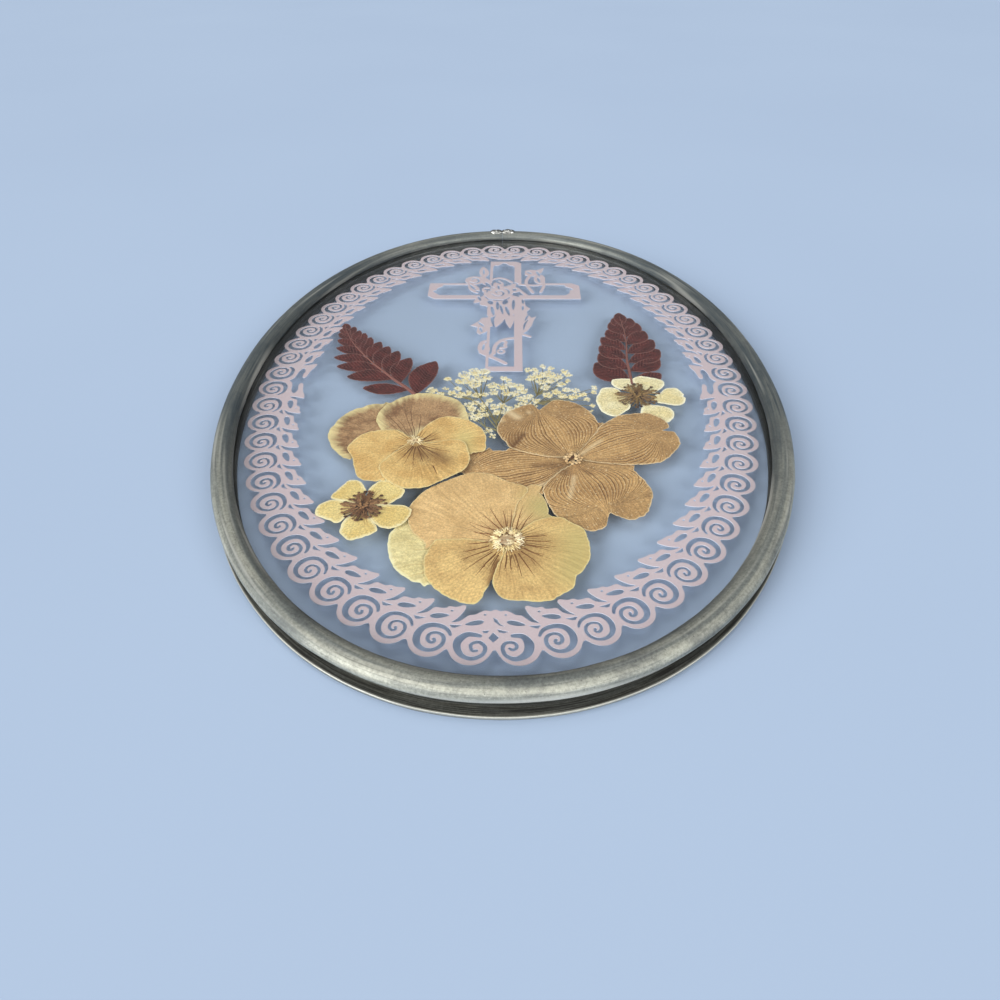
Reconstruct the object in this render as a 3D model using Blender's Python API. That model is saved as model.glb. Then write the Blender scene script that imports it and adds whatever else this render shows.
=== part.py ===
"""A pressed flower frame: an oval of lead came holds two panes of glass, with pressed flowers, two fern
tips and cut paper ornaments lying flat between them. It lies on its back, its head towards +Y."""

import math

import bpy

MM = 0.001

# The came is an H section. Its two faces are domes with a thin lip on each edge, joined by a web.
FACE_HALF = 3.6
DOME = 2.4
LIP = 0.5
CHANNEL = 5.6
WEB_HALF = 0.8
REST_LAND_HALF = 1.3
UPPER_DOME_STEPS = 6
LOWER_DOME_STEPS = 4

# The oval's middle line. The hand-bent strip is a little blunter than an ellipse and wider at the foot.
OVAL_HALF_WIDTH = 96.3
OVAL_HALF_LENGTH = 133.4
BLUNTNESS = 2.07
FOOT_FLARE = 0.010
OVAL_STEPS = 56

# The lump of solder over the strip's meeting ends.
SOLDER_WIDTH = 13.0
SOLDER_DEPTH = 4.4
SOLDER_HEIGHT = 1.0
SOLDER_EDGE = 0.08

# Panes, and the levels on which the flat things lie between them.
FIT_GAP = 0.25
PANE = 1.5
PANE_EDGE_GAP = 0.4
SHEET = 0.2
FIRST_LEVEL = 0.2
LEVEL_PITCH = 0.5

# The stalk of one lace umbellet.
RAY_HALF_WIDTH = 0.45

CHANNEL_FLOOR = DOME + LIP
BACK_PANE_TOP = CHANNEL_FLOOR + FIT_GAP + PANE
CHANNEL_ROOF = CHANNEL_FLOOR + CHANNEL
TOTAL_HEIGHT = 2 * (DOME + LIP) + CHANNEL

# The arrangement sits a little high and a little turned in its frame.
ARRANGEMENT_SHIFT = (-0.13, 2.10)
ARRANGEMENT_TURN = -0.75

# The paper border: running scrolls, equally spaced on an ellipse through their eyes. A scroll's lobe is
# round a point that lies a little past its eye, away from the border's head or foot.
SCROLLS_PER_QUADRANT = 15
BORDER_HALF_WIDTH = 86.1
BORDER_HALF_LENGTH = 121.2
LOBE_LAG = 0.7
LOBE_RADIUS = 5.5

# Colours, from the dry specimens.
LEAD = (0.25, 0.27, 0.25)
SOLDER = (0.55, 0.56, 0.54)
GLASS = (0.80, 0.88, 0.86)
PAPER = (0.60, 0.50, 0.52)
FROND = (0.13, 0.045, 0.04)
CREAM = (0.86, 0.82, 0.55)
PALE_YELLOW = (0.86, 0.74, 0.35)
STRAW = (0.75, 0.56, 0.28)
TAN = (0.50, 0.31, 0.16)
BROWNED = (0.42, 0.26, 0.15)
STAMEN = (0.15, 0.07, 0.04)


def clear_scene():
    for thing in list(bpy.data.objects):
        bpy.data.objects.remove(thing, do_unlink=True)


def new_collection(name):
    collection = bpy.data.collections.new(name)
    bpy.context.scene.collection.children.link(collection)
    return collection


def finish_for(name, colour, roughness, metallic=0.0):
    material = bpy.data.materials.new(name)
    material.use_nodes = True
    shader = material.node_tree.nodes["Principled BSDF"]
    shader.inputs["Base Color"].default_value = (*colour, 1.0)
    shader.inputs["Roughness"].default_value = roughness
    shader.inputs["Metallic"].default_value = metallic
    return material


def add_loop(curve, points):
    """One closed straight-sided loop, from points in millimetres."""
    spline = curve.splines.new("POLY")
    spline.points.add(len(points) - 1)
    for vertex, (x, y) in zip(spline.points, points):
        vertex.co = (x * MM, y * MM, 0.0, 1.0)
    spline.use_cyclic_u = True


def plate(name, loops, bottom, thickness, colour, roughness, parent=None, metallic=0.0):
    """A flat piece cut to the first loop, with the other loops as holes."""
    curve = bpy.data.curves.new(name, "CURVE")
    curve.dimensions = "2D"
    curve.fill_mode = "BOTH"
    curve.extrude = thickness * MM / 2
    for points in loops:
        add_loop(curve, points)
    curve.materials.append(finish_for(name, colour, roughness, metallic))
    piece = bpy.data.objects.new(name, curve)
    piece.location = (0.0, 0.0, (bottom + thickness / 2) * MM)
    piece.parent = parent
    parts.objects.link(piece)
    return piece


def pressed(name, outline, level, colour, holes=()):
    """A pressed or cut flat thing on one of the levels between the panes."""
    bottom = BACK_PANE_TOP + FIRST_LEVEL + level * LEVEL_PITCH
    return plate(name, [outline, *holes], bottom, SHEET, colour, 0.8, parent=arrangement)


def oval_point(angle):
    """A point of the oval's middle line."""
    across = math.cos(angle)
    along = math.sin(angle)
    power = 2.0 / BLUNTNESS
    x = OVAL_HALF_WIDTH * math.copysign(abs(across) ** power, across) * (1 - FOOT_FLARE * along)
    y = OVAL_HALF_LENGTH * math.copysign(abs(along) ** power, along)
    return x, y


def oval(inset=0.0):
    """The oval's middle line as a loop, moved inwards by the inset."""
    step = 2 * math.pi / OVAL_STEPS
    points = []
    for number in range(OVAL_STEPS):
        angle = number * step
        x, y = oval_point(angle)
        before = oval_point(angle - step / 8)
        after = oval_point(angle + step / 8)
        run = (after[0] - before[0], after[1] - before[1])
        length = math.hypot(*run)
        points.append((x - inset * run[1] / length, y + inset * run[0] / length))
    return points


def came_section():
    """The H section across the strip, its middle at zero, clockwise so that the sweep faces outwards."""
    middle = TOTAL_HEIGHT / 2
    upper = []
    for number in range(UPPER_DOME_STEPS + 1):
        angle = math.pi * number / UPPER_DOME_STEPS
        upper.append((FACE_HALF * math.cos(angle), CHANNEL / 2 + LIP + DOME * math.sin(angle)))
    left_channel = [
        (-FACE_HALF, CHANNEL / 2), (-WEB_HALF, CHANNEL / 2),
        (-WEB_HALF, -CHANNEL / 2), (-FACE_HALF, -CHANNEL / 2),
    ]
    right_channel = [(-x, -y) for x, y in left_channel]
    lower = []
    for number in range(LOWER_DOME_STEPS + 1):
        angle = math.pi + math.pi * number / LOWER_DOME_STEPS
        if number != LOWER_DOME_STEPS // 2:
            lower.append((FACE_HALF * math.cos(angle), -CHANNEL / 2 - LIP + DOME * math.sin(angle)))
        else:
            lower.append((-REST_LAND_HALF, -middle))
            lower.append((REST_LAND_HALF, -middle))
    return (upper + left_channel + lower + right_channel)[::-1]


def make_came():
    """One strip bent round the panes, swept along the oval."""
    section_curve = bpy.data.curves.new("came_section", "CURVE")
    section_curve.dimensions = "2D"
    add_loop(section_curve, came_section())
    section = bpy.data.objects.new("came_section", section_curve)
    section.hide_render = True
    section.display_type = "WIRE"
    guides.objects.link(section)

    curve = bpy.data.curves.new("came", "CURVE")
    curve.dimensions = "2D"
    curve.fill_mode = "NONE"
    add_loop(curve, oval())
    curve.bevel_mode = "OBJECT"
    curve.bevel_object = section
    curve.materials.append(finish_for("came", LEAD, 0.45, 0.8))
    came = bpy.data.objects.new("came", curve)
    came.location = (0.0, 0.0, TOTAL_HEIGHT / 2 * MM)
    parts.objects.link(came)


def make_solder():
    """The lump of solder over the strip's meeting ends, at the head of the oval."""
    bpy.ops.mesh.primitive_uv_sphere_add(segments=12, ring_count=6, radius=0.5)
    solder = bpy.context.object
    solder.name = "solder_joint_top"
    solder.data.name = "solder_joint_top"
    for vertex in solder.data.vertices:
        side = vertex.co.y * SOLDER_DEPTH
        crest = TOTAL_HEIGHT + FIT_GAP - DOME * (1 - math.sqrt(1 - (side / FACE_HALF) ** 2))
        lift = max(vertex.co.z, 0.0) * 2 * SOLDER_HEIGHT
        if vertex.co.z > -0.01:
            lift += SOLDER_EDGE
        place_y = OVAL_HALF_LENGTH + side
        vertex.co = (vertex.co.x * SOLDER_WIDTH * MM, place_y * MM, (crest + lift) * MM)
    solder.data.materials.append(finish_for("solder_joint_top", SOLDER, 0.25, 1.0))
    for owner in list(solder.users_collection):
        owner.objects.unlink(solder)
    parts.objects.link(solder)


def make_panes():
    outline = oval(WEB_HALF + PANE_EDGE_GAP)
    plate("glass_back", [outline], CHANNEL_FLOOR + FIT_GAP, PANE, GLASS, 0.03)
    plate("glass_front", [outline], CHANNEL_ROOF - FIT_GAP - PANE, PANE, GLASS, 0.03)


def border_places():
    """Each lobe's place in the lower right quadrant, from the foot to the side, equally far apart."""
    steps = 2000
    lengths = [0.0]
    points = [(0.0, -BORDER_HALF_LENGTH)]
    for number in range(1, steps + 1):
        angle = -math.pi / 2 + math.pi / 2 * number / steps
        point = (BORDER_HALF_WIDTH * math.cos(angle), BORDER_HALF_LENGTH * math.sin(angle))
        lengths.append(lengths[-1] + math.dist(point, points[-1]))
        points.append(point)
    places = []
    pitch = lengths[-1] / SCROLLS_PER_QUADRANT
    for number in range(SCROLLS_PER_QUADRANT):
        run_to_lobe = (number + 0.5) * pitch + LOBE_LAG
        index = next(i for i, run in enumerate(lengths) if run >= run_to_lobe)
        x, y = points[index]
        outward = (x / BORDER_HALF_WIDTH ** 2, y / BORDER_HALF_LENGTH ** 2)
        size = math.hypot(*outward)
        places.append((x, y, outward[0] / size, outward[1] / size))
    return places


def from_scroll(place, towards_foot, inwards):
    """A point given by how far it is from a lobe's middle, towards the foot and towards the oval's middle."""
    x, y, out_x, out_y = place
    return x + out_y * towards_foot - out_x * inwards, y - out_x * towards_foot - out_y * inwards


def between(foot_point, side_point, share):
    """A point of a tooth, part of the way from its form at the foot to its form at the side."""
    return tuple(a + (b - a) * share for a, b in zip(foot_point, side_point))


def quadrant_edges():
    """The scalloped outer edge and the toothed inner edge of the lower right quadrant, foot to side."""
    outer_edge = []
    inner_edge = []
    for number, place in enumerate(border_places()):
        share = number / (SCROLLS_PER_QUADRANT - 1)
        if number:
            outer_edge.append(from_scroll(place, LOBE_RADIUS, -2.4))
        for angle in (-35, -90, -145):
            turn = math.radians(angle)
            outer_edge.append(from_scroll(place, LOBE_RADIUS * math.cos(turn), LOBE_RADIUS * math.sin(turn)))
        if number:
            inner_edge.append(from_scroll(place, *between((4.7, 6.5), (3.2, 6.2), share)))
            inner_edge.append(from_scroll(place, *between((7.6, 11.8), (4.4, 13.6), share)))
            inner_edge.append(from_scroll(place, *between((3.7, 11.6), (0.8, 12.2), share)))
        else:
            inner_edge.append(from_scroll(place, 3.5, 11.6))
        inner_edge.append(from_scroll(place, *between((-1.4, 9.9), (-4.3, 9.9), share)))
    last = border_places()[-1]
    inner_edge.append(from_scroll(last, -2.4, 6.6))
    return outer_edge, inner_edge


def around(points):
    """A lower right quadrant's points, repeated by mirroring to go once round, anticlockwise."""
    lower = [(-x, y) for x, y in reversed(points)] + points
    upper = [(x, -y) for x, y in reversed(lower)]
    return lower + upper


def scroll_slot(place):
    """The curved slot of one scroll: a crescent round the eye, thin at both ends."""
    outline = []
    for angle, radius in ((50, 4.9), (120, 4.9), (200, 4.5), (290, 4.3), (335, 3.6), (215, 3.1), (125, 3.7)):
        turn = math.radians(angle)
        outline.append(from_scroll(place, radius * math.cos(turn), radius * math.sin(turn)))
    return outline


def make_border():
    outer_edge, inner_edge = quadrant_edges()
    slots = [scroll_slot(place) for place in border_places()]
    holes = [around(inner_edge)]
    for side, end in ((1, 1), (-1, 1), (1, -1), (-1, -1)):
        holes += [[(side * x, end * y) for x, y in slot] for slot in slots]
    pressed("paper_border", around(outer_edge), 0, PAPER, holes)


def make_cross():
    """An open outlined cross with a rose and its leaves over the crossing."""
    outline = [
        (-6.8, 106.5), (-6.8, 92), (-9, 93), (-10.5, 100.5), (-12.2, 96), (-11, 90.5), (-14, 91),
        (-18.5, 87.5), (-18, 83), (-34.7, 83), (-34.7, 69), (-32, 67.2), (-13.5, 67.2), (-13.5, 63.5),
        (-9.5, 64), (-7, 60), (-6.8, 50), (-9.5, 49), (-10, 45), (-13.6, 42.8), (-11, 40), (-10, 35.5),
        (-6.8, 38), (-6.8, 30), (-9.7, 27), (-9.7, 21), (-6.8, 17.5), (-6.8, 10.3), (-5.8, 7), (7.8, 7),
        (7.8, 33), (11, 33.6), (8.5, 35.5), (11.5, 43), (13.8, 50.5), (10.4, 51), (11.5, 57.5),
        (9.2, 62), (8.6, 67.2), (34.8, 67.2), (34.8, 81), (32.5, 83), (19, 83), (19.2, 88), (17.2, 94),
        (19, 99.5), (14, 97), (10, 97.5), (10.2, 90), (8, 82), (8, 104.5), (6, 106.5),
    ]
    head_window = [(-5.4, 102), (0, 104.6), (4.7, 102), (4.7, 84), (0.5, 83.5), (-5.4, 87)]
    left_window = [(-30.5, 80.5), (-17, 80.8), (-15.5, 71), (-29, 71), (-32, 75)]
    right_window = [(9.5, 79.5), (13, 73.5), (17, 74), (19, 81), (28, 81), (32, 77), (28, 71), (9.5, 71)]
    stem_window = [
        (-5.4, 45), (-3, 41.5), (0.5, 47.5), (3, 41), (4.7, 45), (4.7, 32.5), (0, 31), (-4, 26),
        (-5.4, 30),
    ]
    foot_window = [(-5.4, 18), (-3.5, 20), (1.5, 21), (2.2, 29.5), (4.7, 30.5), (4.7, 10.3), (-5.4, 10.3)]
    pressed("paper_cross", outline, 0, PAPER, [head_window, left_window, right_window, stem_window, foot_window])


def make_ferns():
    left = [
        (-31.6, -10.5), (-30, -6), (-26.8, -2), (-25.3, 4), (-24.7, 11), (-26.3, 14), (-31, 11),
        (-34.2, 8), (-35, 3), (-37.4, 1), (-35.2, 6), (-34.8, 12), (-36.5, 17), (-39.5, 16.5),
        (-40.5, 20), (-43, 22.5), (-45.5, 21.5), (-47.3, 26), (-50, 26.5), (-50.5, 30), (-55, 33),
        (-58, 36.8), (-62.5, 41), (-66.6, 43.8), (-67.4, 38), (-67.6, 31), (-67.6, 24.5), (-65.5, 22),
        (-67, 18.3), (-62.5, 14), (-64.8, 10.3), (-61, 7.5), (-57.5, 6), (-59.5, 3), (-56, 0.3),
        (-48, -0.5), (-42, 1), (-39, -1.5), (-44, -0.8), (-49.5, -2), (-52, -5), (-48.5, -7.8),
        (-41, -7), (-36, -5.8), (-33, -9),
    ]
    pressed("fern_left", left, 0, FROND)
    right = [
        (40, -3.5), (36.5, 0.5), (35, 8), (36.5, 13), (38, 14), (38, 20), (40, 25), (41, 31), (43, 36),
        (45.5, 38.5), (46, 44), (48, 50), (50.2, 53.8), (52.5, 50), (55.5, 47), (56.8, 43), (58.5, 37),
        (59, 32.5), (61.8, 29), (63, 25), (59.5, 20.5), (55, 18.2), (58, 17.8), (62.3, 16), (61, 11.8),
        (55, 8.8), (51.5, 8), (55, 8.2), (49.8, 2.2), (48.5, -5),
    ]
    pressed("fern_right", right, 0, FROND)


def umbellet(name, centre, radius, lobes, foot, squeeze=1.0):
    """One lobed cluster of tiny florets with its ray running down to the foot."""
    run = (foot[0] - centre[0], foot[1] - centre[1])
    length = math.hypot(*run)
    heading = math.atan2(run[1], run[0])
    outline = []
    opening = math.pi / lobes / 2
    for number in range(2 * lobes):
        angle = heading + opening + (2 * math.pi - 2 * opening) * number / (2 * lobes - 1)
        reach = radius * (1.0 if number % 2 else 0.72)
        outline.append((centre[0] + reach * math.cos(angle), centre[1] + squeeze * reach * math.sin(angle)))
    side = (-run[1] / length * RAY_HALF_WIDTH, run[0] / length * RAY_HALF_WIDTH)
    outline.append((foot[0] - side[0], foot[1] - side[1]))
    outline.append((foot[0] + side[0], foot[1] + side[1]))
    pressed(name, outline, 0, CREAM)


def make_lace():
    umbellet("lace_upper_left", (-11, 2.2), 6.8, 8, (-7.6, -11.6))
    umbellet("lace_far_left", (-20.5, -6.5), 5.0, 5, (-10.6, -12.6), 0.8)
    umbellet("lace_middle_left", (-7.8, -15.8), 3.6, 5, (-4.4, -23.6))
    umbellet("lace_low_left", (-9.2, -22.2), 2.9, 5, (-5.4, -28.8))
    umbellet("lace_upper_middle", (2.6, -5.0), 6.4, 7, (0.8, -14.6))
    umbellet("lace_low_middle", (0.5, -19.5), 3.8, 5, (-1.4, -25.6))
    umbellet("lace_upper_right", (17, 3.5), 8.2, 9, (13.2, -9.4))
    umbellet("lace_far_right", (25.5, -9.4), 8.6, 8, (13.4, -14.6), 0.55)
    umbellet("lace_middle_right", (9.8, -13.2), 3.0, 5, (4.2, -22.2))
    stalk = [
        (-4.8, -27.2), (-3.6, -25), (-2.2, -26.6), (-1.2, -26.4), (1.8, -24.8), (3, -25), (1.4, -29),
        (0.5, -36), (-0.7, -36), (-1.8, -30.5),
    ]
    pressed("lace_stem", stalk, 0, CREAM)


def make_small_pansy():
    far_left = [
        (-38, -16.5), (-44, -15.6), (-47.5, -15.8), (-50, -17.5), (-53, -19), (-55.5, -22), (-57.3, -25),
        (-58.3, -28.5), (-59.3, -31.5), (-59.2, -34.5), (-58.2, -37.3), (-56.8, -40.5), (-55, -42.8),
        (-53, -45), (-50.5, -46.3), (-45, -43), (-35, -39), (-34, -24),
    ]
    head = [
        (-31, -38), (-40, -32.3), (-43, -28), (-43.7, -25.5), (-43.5, -22), (-41.8, -17), (-39.5, -14.8),
        (-37, -12.5), (-32.5, -9.9), (-28, -9.2), (-23, -10.2), (-17, -12.7), (-13.8, -17), (-12, -22.5),
        (-12.3, -25.5), (-18, -31), (-26, -37),
    ]
    left = [
        (-29.3, -38.8), (-31.5, -36), (-34.5, -33.5), (-37, -32.5), (-42.5, -32.8), (-47.3, -35.2),
        (-50.3, -40), (-50.8, -43), (-48.5, -47.2), (-47, -52), (-45.3, -56.5), (-43.5, -58.2),
        (-41, -58.8), (-36.8, -57.8), (-33, -48),
    ]
    right = [
        (-28.6, -38.6), (-26.5, -31), (-22.5, -26), (-20, -24.5), (-17, -24.4), (-12, -26.2), (-7.5, -30),
        (-5.1, -35), (-5, -39), (-5.3, -43.2), (-10.5, -44.2), (-20, -43),
    ]
    foot = [
        (-29, -39.4), (-24, -40), (-20, -39.2), (-16, -38.4), (-13, -39), (-11.5, -41), (-10.2, -46),
        (-9.9, -48.5), (-11.3, -53.5), (-16, -57.5), (-19.5, -60), (-23.5, -62.4), (-29.5, -62.8),
        (-34.5, -60), (-37.6, -56), (-38.6, -51.5), (-34, -44),
    ]
    pressed("pansy_small_petal_far_left", far_left, 0, BROWNED)
    pressed("pansy_small_petal_head", head, 1, BROWNED)
    pressed("pansy_small_petal_left", left, 2, STRAW)
    pressed("pansy_small_petal_right", right, 2, STRAW)
    pressed("pansy_small_petal_foot", foot, 3, STRAW)


def make_big_pansy():
    far_left = [
        (-27, -77), (-29.8, -78.5), (-31.5, -81.5), (-31.7, -84.5), (-31.2, -88), (-30.2, -91.5),
        (-28.7, -94.5), (-26.5, -97), (-24, -98.8), (-21.5, -99.9), (-17, -99.2), (-10, -92), (-6, -84),
        (-16, -78),
    ]
    head = [
        (1, -86), (3.5, -80), (4.5, -75), (6, -68), (9, -61.8), (3, -58.8), (-3, -55), (-7, -54.5),
        (-10, -54.8), (-16.5, -58.3), (-23, -63.3), (-27, -70.5), (-27, -75), (-25.2, -80.5),
        (-21.5, -84.5), (-18.5, -86.2),
    ]
    far_right = [
        (9.6, -61.6), (12.5, -63.8), (14.3, -67.5), (15, -71), (14.8, -73.5), (13.8, -76.5), (10, -79.5),
        (5.6, -83.2), (4.4, -80), (5.4, -75), (7, -67.5),
    ]
    left = [
        (2, -87.5), (-3, -85.5), (-8, -84.5), (-16, -84.6), (-18.5, -86), (-20.2, -91.5), (-20, -96),
        (-19, -99.5), (-14.5, -104.5), (-9, -107.5), (-5, -107.6), (-2.5, -102), (-0.7, -97),
        (0.4, -93),
    ]
    right = [
        (3.6, -86), (8, -79.5), (13, -76), (18, -75.2), (22, -77.8), (25.3, -80.8), (26.3, -88),
        (25.8, -92), (23.8, -96), (21.8, -98.3), (20.7, -102.2), (16.5, -105.3), (14, -106.8),
        (7.5, -106.9), (1.7, -105.8), (-0.7, -101), (-0.1, -96), (1.6, -91),
    ]
    throat = []
    for number in range(20):
        angle = 2 * math.pi * number / 20
        reach = 5.6 if number % 2 else 4.9
        throat.append((2.8 + reach * math.cos(angle), -85.2 + reach * math.sin(angle)))
    pressed("pansy_big_petal_far_left", far_left, 0, PALE_YELLOW)
    pressed("pansy_big_petal_head", head, 1, STRAW)
    pressed("pansy_big_petal_far_right", far_right, 1, STRAW)
    pressed("pansy_big_petal_left", left, 2, STRAW)
    pressed("pansy_big_petal_right", right, 2, STRAW)
    pressed("pansy_big_throat", throat, 3, CREAM)


def make_dogwood():
    left = [
        (21.5, -47.5), (14, -45.8), (9, -43.8), (5, -42.6), (-5, -42.8), (-12, -46), (-13, -52),
        (-6, -58), (2, -60.5), (9.5, -62.3), (12, -62.7), (14, -60.3), (18.5, -54.5), (21.8, -50.5),
    ]
    head = [
        (23, -46), (14, -45.3), (4.6, -41.8), (2, -38), (-1, -32), (0.3, -25), (2.5, -21), (5, -19),
        (9.5, -16.2), (11.5, -16.5), (13.5, -19.5), (15.5, -17.5), (19, -13.8), (21.5, -13.4),
        (26.5, -15), (31, -19.5), (33.7, -26), (34.2, -30), (29, -38.5), (25, -45.5),
    ]
    right = [
        (25, -46.2), (27.5, -42), (32.5, -34), (34.5, -30), (40, -24.8), (43, -23.2), (49, -22),
        (53, -22.6), (57, -26), (58, -30), (55.2, -32), (59.3, -33), (60.5, -37), (59.5, -41),
        (55, -46.8), (51.5, -49.2), (44, -50.3), (36, -49.8), (28, -48.2),
    ]
    foot = [
        (24, -50), (26.5, -49), (31, -49.8), (40, -50), (44, -54), (47.2, -61), (47.4, -65), (45, -72),
        (42, -74.5), (39, -75.3), (35, -73.2), (33.5, -72.5), (31.8, -78), (29.5, -79.6), (26.5, -80),
        (20, -76), (16.8, -72.5), (14, -63.5), (15, -59.5), (19.5, -53.5),
    ]
    boss = []
    for number in range(14):
        angle = 2 * math.pi * number / 14
        reach = 2.4 if number % 2 else 1.9
        boss.append((24 + reach * math.cos(angle), -48 + reach * math.sin(angle)))
    pressed("dogwood_bract_left", left, 0, TAN)
    pressed("dogwood_bract_head", head, 1, TAN)
    pressed("dogwood_bract_right", right, 2, TAN)
    pressed("dogwood_bract_foot", foot, 1, TAN)
    pressed("dogwood_boss", boss, 3, PALE_YELLOW)


def stamens(name, centre, radius, count, level, squeeze):
    """A flat burst of stamens, longer and shorter in turn."""
    outline = []
    for number in range(2 * count):
        angle = math.pi * number / count
        reach = radius * (1.0 + 0.1 * math.sin(number * 2.4)) if number % 2 else radius * 0.72
        outline.append((centre[0] + reach * math.cos(angle), centre[1] + squeeze * reach * math.sin(angle)))
    pressed(name, outline, level, STAMEN)


def make_left_cinquefoil():
    upper_left = [
        (-43, -69.5), (-41.3, -65), (-42, -62.8), (-43.8, -59.8), (-45.5, -59), (-47.3, -59.2),
        (-48.5, -60.5), (-51, -65), (-51.7, -66.5), (-50.5, -67.7), (-47.5, -68.3),
    ]
    upper_right = [
        (-38.5, -70), (-40.4, -66), (-40.4, -63), (-38.5, -60), (-36.6, -58.8), (-34, -59.5),
        (-30, -62.8), (-29.6, -64.3), (-30.3, -66.5), (-33.2, -69.3), (-35.5, -69.8),
    ]
    right = [
        (-39, -72.2), (-35.5, -70.4), (-29.5, -70.5), (-27.3, -71.4), (-26.4, -73.2), (-27.6, -77.2),
        (-29.5, -79.2), (-31.5, -80), (-34, -79.8), (-36, -78.4), (-38.4, -75.4),
    ]
    foot = [
        (-41, -73.8), (-38.9, -75.7), (-36.5, -78.7), (-35.8, -80.2), (-36.2, -82), (-42, -85),
        (-44, -84.2), (-46, -82.3), (-46.2, -80), (-45.6, -76.6), (-43.5, -74.6),
    ]
    left = [
        (-43, -72.5), (-46.1, -76.1), (-47.5, -78), (-50, -77), (-54.5, -74.8), (-55.1, -73.2),
        (-55, -71.5), (-54, -69.8), (-50.8, -68.2), (-47.5, -68.8), (-44, -70.3),
    ]
    pressed("cinquefoil_left_petal_upper_left", upper_left, 2, PALE_YELLOW)
    pressed("cinquefoil_left_petal_upper_right", upper_right, 2, PALE_YELLOW)
    pressed("cinquefoil_left_petal_right", right, 2, PALE_YELLOW)
    pressed("cinquefoil_left_petal_foot", foot, 2, PALE_YELLOW)
    pressed("cinquefoil_left_petal_left", left, 2, PALE_YELLOW)
    stamens("cinquefoil_left_stamens", (-41.2, -70.8), 6.8, 22, 3, 0.95)


def make_right_cinquefoil():
    head_left = [
        (49.3, -8.5), (48.8, -3), (49.2, 0.5), (46, 1), (43.5, 0.7), (41.8, 0), (41.6, -2.5),
        (42.8, -4.8), (45.5, -6.5),
    ]
    head_right = [
        (49.8, -8.6), (49.3, -3), (49.8, 0.8), (51.5, 2.2), (53.5, 2.7), (58.5, 1), (60.3, 0),
        (60.8, -2), (60, -4.5), (56.5, -8), (53, -9),
    ]
    right = [
        (55, -11.5), (58.2, -9), (61, -6), (62.8, -5.3), (65, -5.7), (66.9, -9), (66.5, -10.3),
        (67.2, -11.5), (66.8, -13.5), (65.5, -15.3), (63.2, -16.2), (58.5, -15), (56, -13.6),
    ]
    foot = [
        (52.3, -14.5), (54, -16), (58, -17), (60.3, -18.3), (61.3, -20.5), (61, -23), (58.3, -26.6),
        (54, -27), (50.5, -22.8), (50, -20.5), (51, -17),
    ]
    left = [
        (46.5, -17.2), (44, -20.3), (42, -22.3), (40, -23), (36.3, -20.3), (34.8, -14.5), (35, -12),
        (36.3, -8.5), (38, -5.4), (42.5, -5.6), (44.3, -8.5), (46.6, -12.5),
    ]
    pressed("cinquefoil_right_petal_head_left", head_left, 1, PALE_YELLOW)
    pressed("cinquefoil_right_petal_head_right", head_right, 1, PALE_YELLOW)
    pressed("cinquefoil_right_petal_right", right, 1, PALE_YELLOW)
    pressed("cinquefoil_right_petal_foot", foot, 1, PALE_YELLOW)
    pressed("cinquefoil_right_petal_left", left, 1, PALE_YELLOW)
    stamens("cinquefoil_right_stamens", (50.3, -11.5), 7.2, 22, 2, 0.85)


clear_scene()
parts = new_collection("pressed_flower_frame")
guides = new_collection("guides")
arrangement = bpy.data.objects.new("arrangement", None)
arrangement.location = (ARRANGEMENT_SHIFT[0] * MM, ARRANGEMENT_SHIFT[1] * MM, 0.0)
arrangement.rotation_euler = (0.0, 0.0, math.radians(ARRANGEMENT_TURN))
parts.objects.link(arrangement)

make_came()
make_solder()
make_panes()
make_border()
make_cross()
make_ferns()
make_lace()
make_small_pansy()
make_big_pansy()
make_dogwood()
make_left_cinquefoil()
make_right_cinquefoil()
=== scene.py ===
"""The looks of a pressed flower frame: worn lead came, clear glass, cut paper and dry flowers."""

import math
import random

import bmesh
import bpy
import numpy as np
from mathutils import Matrix, Vector, geometry, noise


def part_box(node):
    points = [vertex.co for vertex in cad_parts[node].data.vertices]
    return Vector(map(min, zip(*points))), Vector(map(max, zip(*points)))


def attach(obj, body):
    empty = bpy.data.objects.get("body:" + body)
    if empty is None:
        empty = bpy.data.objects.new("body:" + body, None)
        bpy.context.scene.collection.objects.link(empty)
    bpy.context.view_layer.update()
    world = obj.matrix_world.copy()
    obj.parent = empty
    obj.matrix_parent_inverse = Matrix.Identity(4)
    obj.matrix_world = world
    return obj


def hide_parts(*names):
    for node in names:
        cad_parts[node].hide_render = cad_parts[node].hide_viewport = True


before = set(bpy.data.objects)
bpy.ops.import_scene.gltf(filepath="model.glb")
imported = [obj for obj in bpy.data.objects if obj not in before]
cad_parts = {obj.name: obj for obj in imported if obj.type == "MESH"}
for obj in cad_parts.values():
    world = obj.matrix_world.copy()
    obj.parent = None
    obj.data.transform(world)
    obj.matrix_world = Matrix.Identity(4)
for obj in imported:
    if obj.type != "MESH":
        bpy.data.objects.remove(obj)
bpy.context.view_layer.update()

MM = 0.001

# The arrangement sits a little high and a little turned in its frame, in millimetres and degrees.
ARRANGEMENT_SHIFT = (-0.13, 2.10)
ARRANGEMENT_TURN = -0.75
IN_ARRANGEMENT = (Matrix.Translation((ARRANGEMENT_SHIFT[0] * MM, ARRANGEMENT_SHIFT[1] * MM, 0.0))
    @ Matrix.Rotation(math.radians(ARRANGEMENT_TURN), 4, "Z"))
IN_FRAME = Matrix.Identity(4)

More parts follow.
